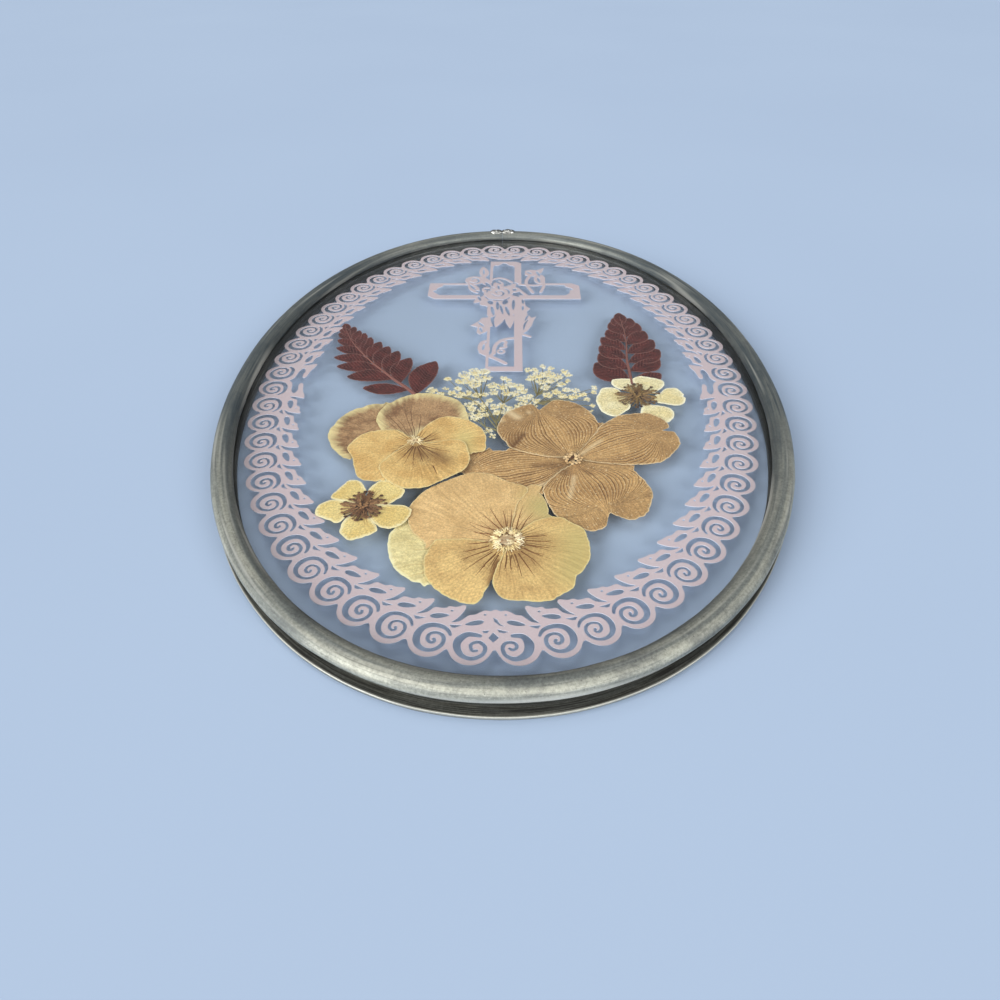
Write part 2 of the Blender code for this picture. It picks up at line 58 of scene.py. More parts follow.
# The oval of the came's middle line, and the came's section.
CAME_LOW, CAME_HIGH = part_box("came")
FACE_HALF = 3.6
OVAL_HALF_WIDTH = (CAME_HIGH.x - CAME_LOW.x) / 2 / MM - FACE_HALF
OVAL_HALF_LENGTH = (CAME_HIGH.y - CAME_LOW.y) / 2 / MM - FACE_HALF
CAME_TOP = CAME_HIGH.z / MM
BLUNTNESS = 2.07
FOOT_FLARE = 0.010
DOME = 2.4
LIP = 0.5
WEB_HALF = 0.8

# The camera, in millimetres and radians.
CAMERA_PLACE = (1.02, -221.5, 149.9)
CAMERA_HEADING = (-0.01005, 0.99995)
CAMERA_PITCH = 0.74302
CAMERA_ROLL = -0.00986
CAMERA_LENS = 24.838


def srgb(red, green, blue):
    """A colour given as it shows on a screen, from 0 to 255, as the linear colour that shaders take."""
    return tuple((v / 255 / 12.92) if v <= 10 else ((v / 255 + 0.055) / 1.055) ** 2.4 for v in (red,
        green, blue))


class Shader:
    """One material, with short calls for the nodes that make its pattern."""

    def __init__(self, name):
        self.material = bpy.data.materials.new(name)
        self.material.use_nodes = True
        self.tree = self.material.node_tree
        self.surface = self.tree.nodes["Principled BSDF"]

    def put(self, socket, value):
        if isinstance(value, bpy.types.NodeSocket):
            self.tree.links.new(value, socket)
        elif isinstance(value, tuple) and len(value) == 3 and socket.type == "RGBA":
            socket.default_value = (*value, 1.0)
        else:
            socket.default_value = value

    def set(self, **values):
        for name, value in values.items():
            self.put(self.surface.inputs[name.replace("_", " ")], value)

    def math(self, operation, *values, clamp=False):
        node = self.tree.nodes.new("ShaderNodeMath")
        node.operation = operation
        node.use_clamp = clamp
        for socket, value in zip(node.inputs, values):
            self.put(socket, value)
        return node.outputs[0]

    def place(self):
        """The place on the piece, in millimetres."""
        where = self.tree.nodes.new("ShaderNodeTexCoord")
        node = self.tree.nodes.new("ShaderNodeVectorMath")
        node.operation = "MULTIPLY"
        self.put(node.inputs[0], where.outputs["Object"])
        node.inputs[1].default_value = (1 / MM, 1 / MM, 1 / MM)
        return node.outputs[0]

    def joined(self, x, y):
        """Two values as one place, for noise that is stretched along one of them."""
        node = self.tree.nodes.new("ShaderNodeCombineXYZ")
        self.put(node.inputs[0], x)
        self.put(node.inputs[1], y)
        return node.outputs[0]

    def upward(self):
        """How far the surface faces up, from -1 to 1."""
        where = self.tree.nodes.new("ShaderNodeNewGeometry")
        split = self.tree.nodes.new("ShaderNodeSeparateXYZ")
        self.tree.links.new(where.outputs["Normal"], split.inputs[0])
        return split.outputs[2]

    def value(self, name):
        node = self.tree.nodes.new("ShaderNodeAttribute")
        node.attribute_name = name
        return node.outputs["Fac"]

    def noise(self, vector, scale, detail=3.0, roughness=0.5):
        node = self.tree.nodes.new("ShaderNodeTexNoise")
        self.put(node.inputs["Vector"], vector)
        node.inputs["Scale"].default_value = scale
        node.inputs["Detail"].default_value = detail
        node.inputs["Roughness"].default_value = roughness
        return node.outputs["Fac"]

    def cells(self, vector, scale):
        node = self.tree.nodes.new("ShaderNodeTexVoronoi")
        self.put(node.inputs["Vector"], vector)
        node.inputs["Scale"].default_value = scale
        return node.outputs["Distance"]

    def fade(self, value, low, high, to_low=0.0, to_high=1.0):
        """The value carried smoothly from one range to another."""
        node = self.tree.nodes.new("ShaderNodeMapRange")
        node.interpolation_type = "SMOOTHSTEP"
        names = ("Value", "From Min", "From Max", "To Min", "To Max")
        for name, given in zip(names, (value, low, high, to_low, to_high)):
            self.put(node.inputs[name], given)
        return node.outputs["Result"]

    def mix(self, factor, first, second, blend="MIX"):
        node = self.tree.nodes.new("ShaderNodeMix")
        node.data_type = "RGBA"
        node.blend_type = blend
        node.clamp_factor = True
        self.put(node.inputs[0], factor)
        self.put(node.inputs[6], first)
        self.put(node.inputs[7], second)
        return node.outputs[2]

    def shaded(self, colour, value):
        """The colour made darker or lighter by the value."""
        return self.mix(1.0, colour, value, "MULTIPLY")

    def lines(self, value, half_width):
        """One where the value is close to a whole number, and zero between."""
        return self.fade(self.math("PINGPONG", value, 0.5), half_width, 0.0)

    def bump(self, height, distance, strength=1.0):
        node = self.tree.nodes.new("ShaderNodeBump")
        node.inputs["Strength"].default_value = strength
        node.inputs["Distance"].default_value = distance * MM
        self.put(node.inputs["Height"], height)
        self.put(self.surface.inputs["Normal"], node.outputs["Normal"])


class Form:
    """The points, faces and named values of one piece, in millimetres, gathered before it is made."""

    def __init__(self):
        self.points = []
        self.faces = []
        self.values = {}

    def add(self, points, faces, **values):
        start = len(self.points)
        self.points.extend(tuple(float(c) for c in point) for point in points)
        self.faces.extend(tuple(start + corner for corner in face) for face in faces)
        for key in set(self.values) | set(values):
            kept = self.values.setdefault(key, [0.0] * start)
            given = values.get(key)
            kept.extend([0.0] * len(points) if given is None else [float(v) for v in given])

    def piece(self, name, material, slot, nodes, place=IN_ARRANGEMENT, sharp=50.0):
        mesh = bpy.data.meshes.new(name)
        mesh.from_pydata([(x * MM, y * MM, z * MM) for x, y, z in self.points], [], self.faces)
        for key, values in self.values.items():
            layer = mesh.attributes.new(key, "FLOAT", "POINT")
            layer.data.foreach_set("value", values)
        mesh.materials.append(material)
        mesh.shade_smooth()
        mesh.set_sharp_from_angle(angle=math.radians(sharp))
        piece = bpy.data.objects.new(name, mesh)
        bpy.context.scene.collection.objects.link(piece)
        piece.matrix_world = place
        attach(piece, "root")
        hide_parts(*nodes)


def smooth(points, spacing, closed=True):
    """A smooth line through the points, as evenly spaced points."""
    given = np.asarray(points, float)
    count = len(given)
    share = np.linspace(0, 1, 10, endpoint=False)[:, None]
    runs = []
    for number in range(count if closed else count - 1):
        if closed:
            a, b, c, d = (given[(number + k) % count] for k in (-1, 0, 1, 2))
        else:
            a, b, c, d = (given[min(max(number + k, 0), count - 1)] for k in (-1, 0, 1, 2))
        runs.append(b + share * (c - a) / 2 + share ** 2 * (2 * a - 5 * b + 4 * c - d) / 2 + share ** 3
            * (3 * b - a - 3 * c + d) / 2)
    line = np.vstack(runs + [given[:1] if closed else given[-1:]])
    length = np.concatenate([[0], np.cumsum(np.linalg.norm(np.diff(line, axis=0), axis=1))])
    steps = max(6, round(length[-1] / spacing))
    at = np.linspace(0, length[-1], steps + (not closed), endpoint=not closed)
    return np.stack([np.interp(at, length, line[:, axis]) for axis in range(line.shape[1])], 1)


def anticlockwise(loop):
    loop = np.asarray(loop, float)
    x, y = loop[:, 0], loop[:, 1]
    area = np.sum(x * np.roll(y, -1) - y * np.roll(x, -1))
    return loop if area > 0 else loop[::-1]


def stroke(points, widths, spacing=0.35):
    """The outline of a soft line drawn through the points, as wide as given along it, with round ends."""
    line = smooth(points, spacing, closed=False)
    share = np.linspace(0, 1, len(line))
    half = np.interp(share, np.linspace(0, 1, len(widths)), widths)[:, None] / 2
    run = np.gradient(line, axis=0)
    run /= np.linalg.norm(run, axis=1)[:, None]
    side = np.stack([-run[:, 1], run[:, 0]], 1) * half
    caps = []
    for end, sign in ((-1, 1), (0, -1)):
        tip = line[end] + sign * run[end] * half[end]
        shoulder = sign * run[end] * half[end] * 0.7
        caps.append([line[end] + shoulder + sign * side[end] * 0.7, tip,
            line[end] + shoulder - sign * side[end] * 0.7])
    return anticlockwise(np.vstack([line + side, caps[0], (line - side)[::-1], caps[1]]))


def ellipse(centre, length, width, turn=0.0, count=20):
    angle = np.linspace(0, 2 * math.pi, count, endpoint=False)
    x, y = length / 2 * np.cos(angle), width / 2 * np.sin(angle)
    c, s = math.cos(math.radians(turn)), math.sin(math.radians(turn))
    return np.stack([centre[0] + x * c - y * s, centre[1] + x * s + y * c], 1)


FACES_UP = 0.9


def outline_of(node):
    """The outline of a flat CAD plate, in the arrangement's own millimetres."""
    plate = bmesh.new()
    plate.from_mesh(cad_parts[node].data)
    plate.transform(IN_ARRANGEMENT.inverted())
    bmesh.ops.remove_doubles(plate, verts=plate.verts, dist=0.001 * MM)
    plate.normal_update()
    following = {}
    for face in plate.faces:
        if face.normal.z > FACES_UP:
            for corner in face.loops:
                other = [f for f in corner.edge.link_faces if f is not face]
                if other and other[0].normal.z < FACES_UP:
                    following[corner.vert.index] = (corner.link_loop_next.vert.index, corner.vert.co.copy())
    start = at = next(iter(following))
    loop = []
    while True:
        at, point = following[at]
        loop.append((point.x / MM, point.y / MM))
        if at == start:
            break
    plate.free()
    return anticlockwise(loop)


def rough(points, size, seed=0.0):
    """Smooth noise at each point, from about -1 to 1, changing over the given size in millimetres."""
    return np.array([noise.noise(Vector((x / size, y / size, seed))) for x, y in points]) * 1.6


def pushed(rim, amounts):
    """The outline moved outwards by its own amount at each point."""
    run = np.roll(rim, -1, axis=0) - np.roll(rim, 1, axis=0)
    run /= np.maximum(np.linalg.norm(run, axis=1), 1e-9)[:, None]
    return rim + np.stack([run[:, 1], -run[:, 0]], 1) * amounts[:, None]


def ragged(rim, amount, size, seed):
    """The outline with small uneven bites."""
    return pushed(rim, rough(rim, size, seed) * amount)


def near_line(points, line):
    """How far each point is from a line drawn through the given points."""
    line = np.asarray(line, float)
    best = np.full(len(points), 1e9)
    if len(line) == 1:
        return np.linalg.norm(points - line[0], axis=1)
    for start, end in zip(line[:-1], line[1:]):
        run = end - start
        share = np.clip((points - start) @ run / (run @ run), 0, 1)[:, None]
        best = np.minimum(best, np.linalg.norm(points - start - share * run, axis=1))
    return best


def marked(points, marks):
    """The sum of soft marks, each given as strength, width and the points that it runs through."""
    total = np.zeros(len(points))
    for strength, width, *line in marks:
        total += strength * np.exp(-(near_line(points, line) / width) ** 2)
    return total


def sheet(form, rim, height, relief, values, thickness=0.12, spacing=0.7):
    """A thin, uneven sheet with the given outline. Relief and values are worked out at each of its points."""
    rim = anticlockwise(rim)
    count = len(rim)
    centre = rim.mean(0)
    reach = rim - centre
    radius = np.linalg.norm(reach, axis=1)
    rings = max(3, int(radius.mean() / spacing))
    shares = np.linspace(0, 1, rings + 1)[1:] ** 0.85
    flat = np.vstack([centre[None]] + [centre + share * reach for share in shares])
    from_rim = np.concatenate([[radius.mean()]] + [(1 - share) * radius for share in shares])
    top = height + relief(flat)
    top[-count:] -= thickness * 0.3
    low = top - thickness
    low[-count:] += thickness * 0.4
    points = np.vstack([np.column_stack([flat, top]), np.column_stack([flat, low])])
    under = len(flat)
    faces = []
    for k in range(count):
        after = (k + 1) % count
        faces.append((0, 1 + k, 1 + after))
        faces.append((under, under + 1 + after, under + 1 + k))
        for ring in range(rings - 1):
            a, b = 1 + ring * count + k, 1 + ring * count + after
            faces.append((a, a + count, b + count, b))
            faces.append((under + a, under + b, under + b + count, under + a + count))
        a, b = under - count + k, under - count + after
        faces.append((a, under + a, under + b, b))
    kept = {name: np.tile(value(flat), 2) for name, value in values.items()}
    form.add(points, faces, rim=np.tile(from_rim, 2), **kept)


def cut_sheet(form, shapes, holes, low, high):
    """A flat sheet cut to the sum of the shapes, less the holes."""
    points = []
    loops = []
    for loop in [anticlockwise(one) for one in [*shapes, *holes]]:
        loops.append(list(range(len(points), len(points) + len(loop))))
        points.extend(Vector((float(x), float(y))) for x, y in loop)
    flat, _, triangles, _, _, origins = geometry.delaunay_2d_cdt(points, [], loops, 1, 0.0005)
    kept = [tuple(triangle) for triangle, sources in zip(triangles, origins) if sources
        and max(sources) < len(shapes)]
    edges = {}
    for a, b, c in kept:
        for edge in ((a, b), (b, c), (c, a)):
            edges[edge] = True
    under = len(flat)
    faces = kept + [(under + c, under + b, under + a) for a, b, c in kept]
    faces += [(b, a, under + a, under + b) for a, b in edges if (b, a) not in edges]
    form.add([(x, y, high) for x, y in flat] + [(x, y, low) for x, y in flat], faces)


def swept_faces(stations, sides):
    """The faces of a closed section carried past the stations, with both ends closed."""
    last = (stations - 1) * sides
    faces = [tuple(range(sides))[::-1], tuple(range(last, last + sides))]
    for station in range(stations - 1):
        for side in range(sides):
            first, second = station * sides + side, station * sides + (side + 1) % sides
            faces.append((first, second, second + sides, first + sides))
    return faces


def rod(form, path, radii, sides=5, **values):
    """A thin stalk along the path, with closed ends."""
    path = np.asarray(path, float)
    run = np.gradient(path, axis=0)
    run /= np.maximum(np.linalg.norm(run, axis=1), 1e-9)[:, None]
    across = np.cross(run, (0.0, 0.0, 1.0))
    across /= np.maximum(np.linalg.norm(across, axis=1), 1e-9)[:, None]
    up = np.cross(across, run)
    radii = np.interp(np.linspace(0, 1, len(path)), np.linspace(0, 1, len(radii)), radii)
    points = []
    for number in range(len(path)):
        for side in range(sides):
            angle = 2 * math.pi * side / sides
            way = math.cos(angle) * across[number] + math.sin(angle) * up[number]
            points.append(path[number] + radii[number] * way)
    kept = {key: [value] * len(points) for key, value in values.items()}
    form.add(points, swept_faces(len(path), sides), **kept)


def oval_frame(angle):
    """A point of the came's middle line, and the outward direction there."""
    def point(turn):
        c, s = math.cos(turn), math.sin(turn)
        power = 2.0 / BLUNTNESS
        x = OVAL_HALF_WIDTH * math.copysign(abs(c) ** power, c) * (1 - FOOT_FLARE * s)
        return np.array([x, OVAL_HALF_LENGTH * math.copysign(abs(s) ** power, s)])
    small = 0.01
    run = point(angle + small) - point(angle - small)
    run /= np.linalg.norm(run)
    return point(angle), np.array([run[1], -run[0]])


# Materials

def lead_finish():
    shader = Shader("worn_lead")
    along, across = shader.value("along"), shader.value("across")
    drawn = shader.joined(shader.math("MULTIPLY", along, 0.05), shader.math("MULTIPLY", across, 2.0))
    grooves = shader.noise(drawn, 1.0, 6.0, 0.7)
    broad = shader.joined(shader.math("MULTIPLY", along, 0.025), shader.math("MULTIPLY", across, 0.55))
    bands = shader.noise(broad, 1.0, 3.0)
    clouds = shader.noise(shader.place(), 0.09, 5.0, 0.6)
    pebbles = shader.noise(shader.place(), 1.3, 4.0, 0.75)
    grain = shader.noise(shader.place(), 3.4, 3.0, 0.7)
    pits = shader.fade(shader.cells(shader.place(), 0.5), 0.12, 0.03)
    colour = shader.mix(shader.fade(bands, 0.35, 0.65), srgb(136, 140, 134), srgb(182, 182, 168))
    colour = shader.mix(shader.fade(clouds, 0.45, 0.7, 0.0, 0.5), colour, srgb(96, 100, 100))
    colour = shader.mix(shader.fade(grooves, 0.50, 0.70, 0.0, 0.5), colour, srgb(84, 86, 84))
    colour = shader.shaded(colour, shader.fade(pebbles, 0.3, 0.7, 0.72, 1.14))
    colour = shader.mix(shader.fade(grain, 0.6, 0.75, 0.0, 0.45), colour, srgb(226, 224, 208))
    # Painted shade: the inner side of the dome, towards the glass, is darkened.
    inner = shader.fade(shader.math("ABSOLUTE", shader.math("SUBTRACT", across, 8.0)), 3.4, 1.2, 0.0, 0.35)
    colour = shader.mix(inner, colour, srgb(84, 88, 88))
    # Painted shade: the came turns dark slate towards its back and sides, away from the front, streaked by
    # the grooves.
    patina = shader.math("MULTIPLY", shader.value("patina"), shader.fade(grooves, 0.36, 0.62, 1.1, 0.62))
    patina = shader.math("MULTIPLY", patina, shader.fade(pebbles, 0.35, 0.65, 0.9, 1.08))
    colour = shader.mix(patina, colour, srgb(62, 74, 82))
    colour = shader.mix(shader.math("MULTIPLY", pits, 0.6), colour, srgb(50, 50, 48))
    # Pale scuffs of real wear, and a painted highlight along the outer lip of the lower flange.
    colour = shader.mix(shader.value("worn"), colour, srgb(226, 224, 212))
    # Painted shade: near black between the flanges and on the lower flange, under the top flange, streaked by
    # the grooves.
    streaked_recess_shade = shader.math("MULTIPLY", shader.value("grime"), shader.fade(grooves, 0.4, 0.62, 1.0, 0.6))
    colour = shader.mix(streaked_recess_shade, colour, srgb(44, 43, 40))
    shader.set(Base_Color=colour, Metallic=0.6)
    rough_value = shader.math("ADD", shader.fade(clouds, 0.3, 0.7, 0.42, 0.56),
        shader.math("MULTIPLY", grain, 0.12))
    shader.set(Roughness=rough_value)
    height = shader.math("ADD", shader.math("MULTIPLY", grooves, 0.6), shader.math("MULTIPLY", pebbles, 0.9))
    shader.bump(height, 0.14, 0.8)
    return shader.material


def solder_finish():
    shader = Shader("bright_solder")
    cloud = shader.noise(shader.place(), 0.5, 4.0)
    grain = shader.noise(shader.place(), 3.0, 3.0)
    colour = shader.mix(shader.fade(cloud, 0.4, 0.6), srgb(214, 214, 208), srgb(140, 140, 134))
    shader.set(Base_Color=colour, Metallic=0.95, Roughness=shader.fade(cloud, 0.3, 0.7, 0.2, 0.4))
    shader.bump(grain, 0.15, 0.6)
    return shader.material


def glass_finish():
    shader = Shader("old_clear_glass")
    smudge = shader.noise(shader.place(), 0.03, 3.0)
    shader.set(Base_Color=srgb(254, 255, 255), Roughness=shader.fade(smudge, 0.45, 0.75, 0.0, 0.012))
    shader.set(IOR=1.5, Transmission_Weight=1.0)
    return shader.material


def paper_finish():
    shader = Shader("mauve_paper")
    fibre = shader.noise(shader.place(), 1.8, 5.0, 0.7)
    cloud = shader.noise(shader.place(), 0.12, 3.0)
    colour = shader.mix(fibre, srgb(176, 160, 164), srgb(206, 193, 195))
    colour = shader.mix(shader.fade(cloud, 0.35, 0.7, 0.0, 0.5), colour, srgb(194, 174, 177))
    # Painted highlight: the cut edges, which don't face up, are made pale and bluish.
    edge = shader.fade(shader.upward(), 0.6, 0.2)
    colour = shader.mix(edge, colour, srgb(232, 230, 240))
    shader.set(Base_Color=colour, Roughness=0.85)
    shader.bump(fibre, 0.05, 0.6)
    return shader.material


def petal_finish(name, colours, vein, vein_count, vein_reach, rim, rim_width, speckle, wash):
    """Dry petal tissue: two ground colours, veins that spread from the root, and a pale rim."""
    shader = Shader(name)
    place = shader.place()
    cloud = shader.noise(place, 0.11, 4.0, 0.6)
    fibre = shader.noise(place, 1.5, 4.0, 0.7)
    across, along = shader.value("across"), shader.value("along")
    wander = shader.math("MULTIPLY", shader.math("SUBTRACT", shader.noise(place, 0.14, 2.0), 0.5), 0.14)
    line = shader.math("MULTIPLY", shader.math("ADD", across, wander), vein_count)
    width = shader.math("MINIMUM", shader.math("DIVIDE", 0.2 * vein_count,
        shader.math("MAXIMUM", along, 1.0)), 0.32)
    kind = shader.tree.nodes.new("ShaderNodeTexWhiteNoise")
    kind.noise_dimensions = "1D"
    shader.put(kind.inputs["W"], shader.math("ROUND", line))
    strength = shader.fade(kind.outputs["Value"], 0.0, 0.8, 0.25, 1.0)
    reach = shader.math("MULTIPLY", shader.fade(kind.outputs["Value"], 0.0, 1.0, 0.45, 1.0), vein_reach)
    fading = shader.fade(along, reach, shader.math("MULTIPLY", reach, 0.45))
    veins = shader.math("MULTIPLY", shader.math("MULTIPLY", shader.lines(line, width), strength), fading)
    fine = shader.lines(shader.math("MULTIPLY", line, 2.6), 0.25)
    fine = shader.math("MULTIPLY", fine, shader.fade(along, 3.0, 12.0, 0.0, 0.13))
    streak = shader.noise(shader.joined(shader.math("MULTIPLY", across, 22.0),
        shader.math("MULTIPLY", along, 0.12)), 1.0, 4.0)
    colour = shader.mix(shader.fade(cloud, 0.35, 0.65), *colours)
    colour = shader.shaded(colour, shader.fade(streak, 0.3, 0.7, 1.04, 0.93))
    colour = shader.shaded(colour, shader.fade(fibre, 0.32, 0.68, 1.14, 0.94 - speckle))
    colour = shader.mix(shader.value("wash"), colour, wash)
    colour = shader.mix(shader.math("ADD", veins, fine, clamp=True), colour, vein)
    from_rim = shader.math("ADD", shader.value("rim"), shader.math("MULTIPLY", cloud, rim_width))
    from_rim = shader.math("ADD", from_rim, shader.math("MULTIPLY", streak, rim_width))
    colour = shader.mix(shader.fade(from_rim, 2.0 * rim_width, 0.8 * rim_width), colour, rim)
    # Dark stains, and painted shade where this value runs along the slit between two petals.
    colour = shader.mix(shader.value("stain"), colour, vein)
    shader.set(Base_Color=colour, Roughness=0.65, Specular_IOR_Level=0.25)
    shader.set(Subsurface_Weight=0.06, Subsurface_Radius=(0.0010, 0.0007, 0.0004))
    height = shader.math("SUBTRACT", shader.math("MULTIPLY", fibre, 0.8), shader.math("MULTIPLY", veins, 0.8))
    shader.bump(height, 0.12, 0.8)
    return shader.material


def bract_finish(name, light, dark, vein, rim):
    """Dry bract tissue with close, bowed ribs."""
    shader = Shader(name)
    place = shader.place()
    cloud = shader.noise(place, 0.1, 4.0, 0.6)
    fibre = shader.noise(place, 1.7, 4.0, 0.7)
    across, along = shader.value("across"), shader.value("along")
    wander = shader.math("MULTIPLY", shader.math("SUBTRACT", shader.noise(place, 0.13, 2.0), 0.5), 0.12)
    line = shader.math("MULTIPLY", shader.math("ADD", across, wander), 12.0)
    streak = shader.noise(shader.joined(line, shader.math("MULTIPLY", along, 0.07)), 1.3, 3.0)
    kind = shader.tree.nodes.new("ShaderNodeTexWhiteNoise")
    kind.noise_dimensions = "1D"
    shader.put(kind.inputs["W"], shader.math("ROUND", line))
    veins = shader.math("MULTIPLY", shader.lines(line, 0.28),
        shader.fade(kind.outputs["Value"], 0.0, 0.8, 0.2, 1.0))
    veins = shader.math("MULTIPLY", veins, shader.fade(streak, 0.3, 0.6, 1.0, 0.6))
    beside = shader.math("MULTIPLY", shader.lines(shader.math("ADD", line, 0.32), 0.16), 0.3)
    colour = shader.mix(shader.fade(cloud, 0.3, 0.7), light, dark)
    colour = shader.mix(beside, colour, rim)
    colour = shader.mix(veins, colour, vein)
    colour = shader.shaded(colour, shader.fade(fibre, 0.3, 0.7, 0.7, 1.3))
    specks = shader.fade(shader.cells(place, 0.7), 0.22, 0.08, 0.0, 0.6)
    colour = shader.mix(specks, colour, rim)
    colour = shader.mix(shader.value("stain"), colour, vein)
    colour = shader.mix(shader.value("glint"), colour, rim)
    colour = shader.mix(shader.fade(shader.value("rim"), 0.55, 0.1, 0.0, 0.6), colour, rim)
    shader.set(Base_Color=colour, Roughness=0.6, Specular_IOR_Level=0.3)
    shader.set(Subsurface_Weight=0.05, Subsurface_Radius=(0.0010, 0.0007, 0.0004))
    shader.bump(shader.math("SUBTRACT", shader.math("MULTIPLY", fibre, 0.6), veins), 0.14, 0.9)
    return shader.material


def frond_finish():
    shader = Shader("dry_frond")
    place = shader.place()
    cloud = shader.noise(place, 0.22, 4.0, 0.6)
    fibre = shader.noise(place, 1.6, 4.0, 0.7)
    colour = shader.mix(shader.fade(cloud, 0.35, 0.65), srgb(54, 14, 11), srgb(84, 31, 26))
    rib = shader.lines(shader.math("MULTIPLY", shader.value("across"), 0.5), 0.035)
    forks = shader.math("SUBTRACT", shader.value("along"), shader.math("ABSOLUTE", shader.value("side")))
    forks = shader.lines(shader.math("MULTIPLY", forks, 0.62), 0.2)
    colour = shader.mix(shader.math("MULTIPLY", forks, 0.6), colour, srgb(126, 78, 68))
    colour = shader.mix(shader.math("MULTIPLY", rib, 0.4), colour, srgb(150, 104, 92))
    colour = shader.shaded(colour, shader.fade(fibre, 0.3, 0.7, 0.55, 1.5))
    colour = shader.mix(shader.fade(shader.value("rim"), 0.6, 0.05, 0.0, 0.6), colour, srgb(144, 104, 94))
    colour = shader.mix(shader.math("MULTIPLY", shader.value("stalk"), 0.7), colour, srgb(146, 98, 86))
    shader.set(Base_Color=colour, Roughness=0.65, Specular_IOR_Level=0.25)
    shader.bump(shader.math("ADD", fibre, shader.math("MULTIPLY", forks, -0.5)), 0.1, 0.8)
    return shader.material


def speckled_finish(name, first, second, third):
    """Dry tissue of two mixed colours with a third in specks, and more of the third by the value shade."""
    shader = Shader(name)
    place = shader.place()
    cloud = shader.noise(place, 0.35, 3.0)
    fibre = shader.noise(place, 2.5, 3.0, 0.6)
    colour = shader.mix(shader.fade(cloud, 0.35, 0.65), first, second)
    colour = shader.mix(shader.fade(fibre, 0.55, 0.7, 0.0, 0.5), colour, third)
    colour = shader.mix(shader.value("shade"), colour, third)
    shader.set(Base_Color=colour, Roughness=0.7, Specular_IOR_Level=0.3)
    shader.bump(fibre, 0.06, 0.6)
    return shader.material


# Frame

STATIONS = 720
SEAM_GAP = 0.0006


def came_profile():
    """The H section, as points of distance outwards from the middle line and height."""
    lip_bottom = CAME_TOP - DOME - LIP
    lower_lip = DOME + LIP
    points = []
    for number in range(25):
        angle = math.pi * number / 24
        out = (FACE_HALF - (0.3 if angle < math.pi / 2 else 0.0)) * math.cos(angle)
        points.append((out, CAME_TOP - DOME + DOME * math.sin(angle)))
    points += [(-FACE_HALF, lip_bottom + 0.15), (-FACE_HALF + 0.15, lip_bottom), (-WEB_HALF, lip_bottom)]
    points += [(-WEB_HALF, lower_lip), (-FACE_HALF + 0.15, lower_lip), (-FACE_HALF, lower_lip - 0.15)]
    for number in range(21):
        angle = math.pi + math.pi * number / 20
        points.append((FACE_HALF * math.cos(angle), DOME + DOME * max(-1.0, 1.07 * math.sin(angle))))
    points += [(FACE_HALF, lower_lip - 0.15), (FACE_HALF - 0.15, lower_lip),
        (FACE_HALF - 0.55, lower_lip), (WEB_HALF, lower_lip)]
    points += [(WEB_HALF, lip_bottom), (FACE_HALF - 0.45, lip_bottom), (FACE_HALF - 0.3, lip_bottom + 0.15)]
    return points


def make_came():
    form = Form()
    profile = came_profile()
    run = 0.0
    surface = [0.0]
    for before, after in zip(profile[:-1], profile[1:]):
        run += math.dist(before, after)
        surface.append(run)
    points = []
    along = []
    worn = []
    grime = []
    patina = []
    length = 0.0
    last = None
    for station in range(STATIONS + 1):
        angle = math.pi / 2 + SEAM_GAP / 2 + (2 * math.pi - SEAM_GAP) * station / STATIONS
        middle, outward = oval_frame(angle)
        if last is not None:
            length += math.dist(middle, last)
        last = middle
        for out, height in profile:
            edge = max(0.0, abs(out) / FACE_HALF - 0.6) / 0.4
            where = Vector((length * 0.045, out * 0.3, height * 0.25))
            sway = noise.noise(where) * 0.22 * edge
            knock = noise.noise(where * 3.1) * 0.06 * (0.3 + edge)
            inset = abs(sway) + abs(knock) * 0.5
            place = middle + outward * (out - math.copysign(inset, out))
            drop = knock if DOME * 0.5 < height < CAME_TOP - DOME * 0.5 else -abs(knock) * 0.6
            if height < DOME:
                drop = abs(knock) * 0.3 * min(1.0, height)
            points.append((place[0], place[1], height + drop))
            along.append(length)
            # Real wear in scuffs, and a painted highlight on the lower flange's outer lip.
            scuff = noise.noise(Vector((length * 0.02, out, 5.0)))
            lip = out > FACE_HALF - 0.5 and DOME - 0.3 < height < DOME + LIP + 0.1
            worn.append(0.5 if lip else max(0.0, scuff - 0.25) * 1.2)
            # Painted shade that darkens the came from the front towards its back and sides.
            patina.append(0.78 * np.clip((middle[1] + 70) / 50, 0, 1) * np.clip((150 - middle[1]) / 60,
                0.5, 1))
            # Painted shade between the flanges and on the lower flange.
            inside = DOME + LIP - 0.05 < height < CAME_TOP - DOME - LIP + 0.05 and out < FACE_HALF - 0.1
            grime.append(0.1 if lip else (0.95 if inside else (0.75 if height < DOME + LIP else 0.0)))
    faces = swept_faces(STATIONS + 1, len(profile))
    across = surface * (STATIONS + 1)
    form.add(points, faces, along=along, across=across, worn=worn, grime=grime, patina=patina)
    form.piece("came_strip", lead_finish(), "came", ["came"], place=IN_FRAME, sharp=40)


